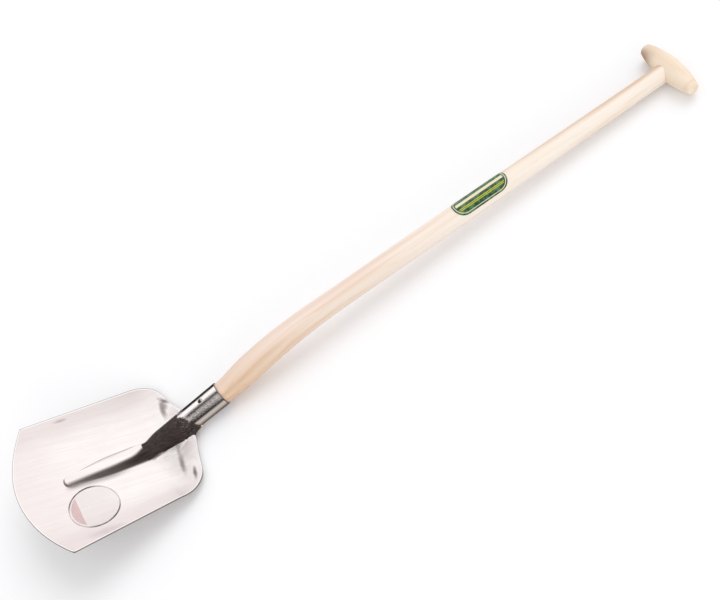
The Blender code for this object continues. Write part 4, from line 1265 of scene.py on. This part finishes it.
def nail_steel(tool):
    """Bright nail steel with fine turned marks, and painted shade, near black, over the front nail's head on
    the side of the pan.
    """
    material, tree, shader = new_material("bright_nail_steel")
    vector = pan_place(tool, tree)
    lines = outputs_of(tree, "ShaderNodeGroup", node_tree=brushed_lines_group(), inputs={"Vector": vector})
    tint = lines["Streaks"].between(tool.finish.nail, (0.45, 0.40, 0.38))
    place = mouth_of(tool) - along_of(tool.socket.angle) * tool.nail.front_from_mouth
    onward = vector.mapped(tuple(place), (tool.socket.angle, 0.0, 0.0), kind="TEXTURE").parts()[1]
    fill(tree, shader, {
        # Painted shade: the front nail's head near black on its half towards the pan
        "Base Color": onward.eased(-0.0010, 0.0012, 0.95, 0.0).between(tint, (0.03, 0.024, 0.022)),
        "Metallic": 1.0,
        "Roughness": lines["Clouds"] * 0.2 + 0.2,
        "Normal": lines["Height"].bumped(0.00004, 0.6),
    })
    return material


def shaft_tone(grain):
    """Tint down the shaft: warm and honey coloured at the knee, paler up to the grip, with painted
    shade that darkens its right side, most at the knee, and its left side towards the grip, a streak
    of heartwood low on its right side that dies away above the knee, and a brown end."""
    across, front, along = grain.parts()
    wavy = (grain.noise((20.0, 20.0, 9.0), 2.0, 0.5) - 0.5) * 0.40
    turn = across.math("ARCTAN2", front) + wavy
    # Painted shade: the right side darker, most at the knee
    right_side_shade = turn.eased(math.radians(14.0), math.radians(48.0))
    knee = right_side_shade.between((0.900, 0.775, 0.715), (0.830, 0.660, 0.535))
    middle = right_side_shade.between((0.960, 0.905, 0.930), (0.920, 0.860, 0.835))
    tone = along.eased(0.02, 0.26).between(knee, middle)
    tone = along.eased(0.26, 0.60).between(tone, (1.0, 0.985, 0.985))
    streak = abs(turn - math.radians(49.0)).fading(0.03, 0.26) * along.fading(0.03, 0.24)
    tone = (streak * 0.40).between(tone, (0.66, 0.48, 0.35))
    # Painted shade: the left side darker towards the grip
    left_side_shade = turn.fading(math.radians(-30.0), math.radians(14.0))
    tone = (left_side_shade * along.eased(0.40, 0.95)).between(tone, (0.79, 0.62, 0.50))
    return along.eased(0.960, 0.975).between(tone, (0.86, 0.74, 0.62))


def grip_tone(grain):
    """Tint along the barrel: painted shade over its left end, most on the side towards the shaft,
    and a paler ring at its right end."""
    up, _, along = grain.parts()
    log_up, _, log_along = GRIP_IN_LOG
    place = along + grain.noise((60.0, 60.0, 25.0), 2.0, 0.5) * 0.006
    # Painted shade over the barrel's left end, most on its side towards the shaft
    left_end_shade = place.fading(log_along - 0.054, log_along - 0.014)
    towards_shaft = up.eased(log_up - 0.0165, log_up + 0.002, 1.0, 0.12)
    tone = (left_end_shade * towards_shaft).between(WHITE, (0.48, 0.38, 0.32))
    ring = abs(place - (log_along + 0.062)).fading(0.002, 0.004)
    return (ring * 0.3).between(tone, (0.84, 0.72, 0.66))


def sanded_wood(name, grain_of, light, dark, streaks, rings, tone=None, gloss=0.5):
    """Sanded wood on the grain coordinates that a function gives, with a tint along it."""
    material, tree, shader = new_material(name)
    grain = grain_of(tree)
    wood = outputs_of(tree, "ShaderNodeGroup", node_tree=ash_grain_group(), inputs={
        "Vector": grain,
        "Light": (*light, 1.0),
        "Dark": (*dark, 1.0),
        "Streaks": streaks,
        "Rings": rings,
    })
    fill(tree, shader, {
        "Base Color": wood["Colour"].tinted(tone(grain)) if tone else wood["Colour"],
        "Roughness": wood["Roughness"],
        "Normal": wood["Height"].bumped(0.00008, 0.7),
        "Specular IOR Level": gloss,
    })
    return material


def green_film(tool):
    """Printed film: a mottled green ground inside a cream keyline, with two thin yellow lines and
    a broader pale one along it, off its middle."""
    film = tool.film
    corner = film.handle_corner
    material, tree, shader = new_material("green_printed_film")
    across, onward, _ = stored(tree, "place").parts()
    clouds = object_place(tree).noise(130.0, 3.0, 0.6)
    print_now = clouds.eased(0.42, 0.62).between(film.ground, film.leaf)

    # Distance out from the film's rounded outline, below 0 inside it
    past_side = (abs(across) - (film.handle_width / 2.0 - corner)).most(0.0)
    past_end = (abs(onward) - (film.handle_length / 2.0 - corner)).most(0.0)
    past = outputs_of(tree, "ShaderNodeCombineXYZ", {"X": past_side, "Y": past_end})["Vector"]
    outline = past.length() - corner

    def line_at(distance, middle, half_width):
        """Mask of a line where the distance is near the middle."""
        return abs(distance - middle).fading(half_width - 0.0002, half_width + 0.0003)

    print_now = line_at(outline, -0.0030, 0.0006).between(print_now, film.keyline)
    inside = outline.fading(-0.0062, -0.0058)
    for line in THIN_LINES:
        print_now = (line_at(across, *line) * inside).between(print_now, film.stripe)
    print_now = (line_at(across, *BROAD_LINE) * inside).between(print_now, film.keyline)
    fill(tree, shader, {
        "Base Color": print_now,
        "Roughness": clouds.eased(0.3, 0.7, 0.22, 0.34),
        "Specular IOR Level": 0.5,
    })
    return material


def clear_film(tool):
    """Clear film: a thin dark ring near its rim, strong on two sides and faint between, and a plain
    rose segment cut off by a chord."""
    film = tool.film
    material, tree, shader = new_material("clear_round_film")
    vector = stored(tree, "place")
    across, onward, _ = vector.parts()
    from_middle = vector.length()
    speckle = vector.noise(60.0, 2.0, 0.5)
    ring = abs(from_middle - (film.pan_radius - 0.0012)).fading(0.0006, 0.0013)
    two_sides = abs(across * 0.92 + onward * 0.40).eased(0.018, 0.038, 0.30, 1.0)
    ring = ring * two_sides * speckle.eased(0.34, 0.56, 0.65, 1.0)
    segment = onward.fading(-0.0240, -0.0236) * from_middle.fading(0.0385, 0.0389)
    fill(tree, shader, {
        "Base Color": ring.between(segment.between(film.clear, film.rose), film.rim),
        "Roughness": speckle.eased(0.3, 0.7, 0.16, 0.26),
        "Alpha": (segment * 0.15).most(ring).most(0.07),
    })
    return material


# Stage

def studio_walls(place, walls):
    """Ring of bright and dark walls from degrees and levels, the darker ones a little warmer."""
    ramp = outputs_of(place.tree, "ShaderNodeValToRGB", {"Fac": place})["Color"]
    stops = ramp.socket.node.color_ramp.elements
    while len(stops) < len(walls):
        stops.new(0.5)
    for stop, (degrees, level) in zip(stops, walls):
        warm = (0.06 + 0.10 * (104.0 < degrees < 165.0)) * (1.0 - level)
        stop.position = (degrees + 180.0) / 360.0
        stop.color = (level, level * (1.0 - warm), level * (1.0 - 2.0 * warm), 1.0)
    return ramp


def studio_world(tool):
    """White where the camera looks, an even soft light for the lit surfaces, and for reflections a
    studio of bright and dark walls, laid round the tool's length by the angle from overhead."""
    world = bpy.data.worlds.new("soft_studio")
    bpy.context.scene.world = world
    world.use_nodes = True
    world.cycles.sampling_method = "NONE"
    tree = world.node_tree
    tree.nodes.clear()
    across, along, up = outputs_of(tree, "ShaderNodeTexCoord")["Generated"].parts()
    around = across.math("ARCTAN2", up)
    place = (around + math.pi) * (0.5 / math.pi)
    sideways = abs(around).eased(math.radians(55.0), math.radians(110.0), 0.0, 0.16)
    by_socket = (along - sideways).fading(-0.255, -0.230) * along.eased(-0.40, -0.355)
    by_socket = by_socket.most(around.eased(math.radians(90.0), math.radians(104.0)))
    by_pan = along.eased(0.06, 0.18).between((0.94, 0.94, 0.94), studio_walls(place, WALLS_BY_PAN))
    studio = by_socket.between(by_pan, studio_walls(place, WALLS_BY_SOCKET))
    studio = studio.tinted(along.eased(-0.90, -0.70, 0.20, 1.05))
    rays = outputs_of(tree, "ShaderNodeLightPath")
    mirrored = rays["Is Glossy Ray"].most(rays["Is Transmission Ray"])
    seen = mirrored.between((tool.stage.ambient,) * 3, studio)
    seen = rays["Is Camera Ray"].between(seen, WHITE)
    background = outputs_of(tree, "ShaderNodeBackground", {"Color": seen, "Strength": 1.0})
    outputs_of(tree, "ShaderNodeOutputWorld", {"Surface": background["Background"]})


def build_floor(stage):
    """Round pale floor, with a little white added where the camera sees it."""
    turn = full_turn(FLOOR_STEPS)
    ring = np.stack((np.cos(turn), np.sin(turn), turn * 0.0), axis=1) * stage.floor_radius
    mesh = bpy.data.meshes.new("pale_floor")
    mesh.from_pydata(ring.tolist(), [], [list(range(len(ring)))])
    floor = add_object("pale_floor", mesh)
    material, tree, shader = new_material("pale_floor")
    seen = outputs_of(tree, "ShaderNodeLightPath")["Is Camera Ray"]
    fill(tree, shader, {
        "Base Color": seen.between(stage.floor, stage.floor_seen),
        "Roughness": 1.0,
        "Specular IOR Level": 0.0,
        "Emission Color": (*WHITE, 1.0),
        "Emission Strength": seen * stage.floor_glow,
    })
    mesh.materials.append(material)
    floor.visible_glossy = False


def build_stage(tool):
    """Floor, a soft key light and a low one, world and camera."""
    stage = tool.stage
    scene = bpy.context.scene
    build_floor(stage)
    for name, level, width, towards in (
        ("soft_key", stage.key, stage.key_width, (-0.34, 0.68, 1.0)),
        ("low_fill", stage.fill, stage.fill_width, (1.0, -0.1, 0.28)),
    ):
        light = bpy.data.lights.new(name, "SUN")
        light.energy = level
        light.angle = width
        lamp = add_object(name, light)
        lamp.rotation_euler = Vector(towards).to_track_quat("Z", "Y").to_euler()
        lamp.visible_glossy = False
    studio_world(tool)

    view = bpy.data.cameras.new("photo_view")
    view.type = "PERSP"
    view.lens = stage.lens
    view.sensor_width = 36.0
    view.clip_end = 50.0
    camera = add_object("photo_view", view)
    turn = Euler((stage.camera_tip, stage.camera_roll, stage.camera_swing)).to_matrix().to_4x4()
    place = Matrix.Translation((stage.camera_x, stage.camera_y, stage.camera_z))
    camera.matrix_world = lying_pose(tool) @ place @ turn
    scene.camera = camera
    scene.view_settings.view_transform = "Standard"


# Operators

class SHOVEL_OT_stage(bpy.types.Operator):
    """Set up the floor, the light and the camera"""

    bl_idname = "shovel.stage"
    bl_label = "Stage"

    def execute(self, context):
        build_stage(context.scene.scoop_shovel)
        return {"FINISHED"}


class SHOVEL_OT_head(bpy.types.Operator):
    """Build the pan, its rib and the rolled socket"""

    bl_idname = "shovel.head"
    bl_label = "Head"

    def execute(self, context):
        tool = context.scene.scoop_shovel
        finish_piece(build_head(tool), brushed_steel(tool), "polished_steel", "blade_and_socket", sharp=50.0)
        return {"FINISHED"}


class SHOVEL_OT_shaft(bpy.types.Operator):
    """Build the bent ash shaft and finish its wedge"""

    bl_idname = "shovel.shaft"
    bl_label = "Shaft and wedge"

    def execute(self, context):
        tool = context.scene.scoop_shovel
        finish = tool.finish

        def shaft_place(tree):
            return stored(tree, "grain")

        def wedge_place(tree):
            return object_place(tree).mapped(rotation=(math.pi / 2.0, 0.0, 0.0))

        tints = (finish.ash, finish.ash_streak)
        wood = sanded_wood("pale_ash", shaft_place, *tints, 0.62, 0.18, shaft_tone, ASH_GLOSS)
        finish_piece(build_shaft(tool), wood, "pale_ash", "handle_shaft")
        tints = (finish.wedge, finish.wedge_streak)
        wood = sanded_wood("brown_wedge_wood", wedge_place, *tints, 0.5, 0.5)
        frame["nodes"]["grip_wedge"].material_slots[0].material = wood
        return {"FINISHED"}


class SHOVEL_OT_grip(bpy.types.Operator):
    """Build the turned T-grip"""

    bl_idname = "shovel.grip"
    bl_label = "T-grip"

    def execute(self, context):
        tool = context.scene.scoop_shovel
        finish = tool.finish

        def grip_place(tree):
            return stored(tree, "grain").mapped(GRIP_IN_LOG)

        tints = (finish.grip, finish.grip_streak)
        wood = sanded_wood("grip_ash", grip_place, *tints, 0.40, 0.18, grip_tone, ASH_GLOSS)
        finish_piece(build_grip(tool), wood, "pale_ash_grip", "t_grip")
        return {"FINISHED"}


class SHOVEL_OT_nails(bpy.types.Operator):
    """Build the two nails of the socket"""

    bl_idname = "shovel.nails"
    bl_label = "Nails"

    def execute(self, context):
        tool = context.scene.scoop_shovel
        steel = nail_steel(tool)
        for side, place in zip(("front", "back"), nail_places(tool)):
            nail = add_object(side + "_nail", nail_mesh(tool, side + "_nail", *place, 0.0))
            finish_piece(nail, steel, "nail_steel", "socket_nail_" + side)
        return {"FINISHED"}


class SHOVEL_OT_films(bpy.types.Operator):
    """Build the films on the shaft and in the hollow"""

    bl_idname = "shovel.films"
    bl_label = "Films"

    def execute(self, context):
        tool = context.scene.scoop_shovel
        finish_piece(build_handle_film(tool), green_film(tool), "green_label", "handle_label")
        finish_piece(build_pan_film(tool), clear_film(tool), "clear_label", "pan_label")
        return {"FINISHED"}


OPERATORS = (
    SHOVEL_OT_stage,
    SHOVEL_OT_head,
    SHOVEL_OT_shaft,
    SHOVEL_OT_grip,
    SHOVEL_OT_nails,
    SHOVEL_OT_films,
)


class SHOVEL_PT_panel(bpy.types.Panel):
    """Lists the shovel's settings and its steps"""

    bl_idname = "SHOVEL_PT_panel"
    bl_label = "Scoop Shovel"
    bl_space_type = "VIEW_3D"
    bl_region_type = "UI"
    bl_category = "Scoop Shovel"

    def draw(self, context):
        layout = self.layout
        tool = context.scene.scoop_shovel
        for operator in OPERATORS:
            layout.operator(operator.bl_idname)
        for group in ShovelSettings.__annotations__:
            box = layout.box()
            box.label(text=group.capitalize())
            settings = getattr(tool, group)
            for name in type(settings).__annotations__:
                box.prop(settings, name)


CLASSES = (
    PanSettings,
    RibSettings,
    SocketSettings,
    ShaftSettings,
    GripSettings,
    NailSettings,
    FilmSettings,
    FinishSettings,
    StageSettings,
    ShovelSettings,
    *OPERATORS,
    SHOVEL_PT_panel,
)


def register():
    """Register the classes and hang the settings on the scene."""
    for kind in CLASSES:
        bpy.utils.register_class(kind)
    bpy.types.Scene.scoop_shovel = PointerProperty(type=ShovelSettings)


def unregister():
    """Take the settings and the classes away again."""
    del bpy.types.Scene.scoop_shovel
    for kind in reversed(CLASSES):
        bpy.utils.unregister_class(kind)


def main():
    """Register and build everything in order."""
    register()
    bpy.ops.shovel.stage()
    bpy.ops.shovel.head()
    bpy.ops.shovel.shaft()
    bpy.ops.shovel.grip()
    bpy.ops.shovel.nails()
    bpy.ops.shovel.films()


if __name__ == "__main__":
    main()
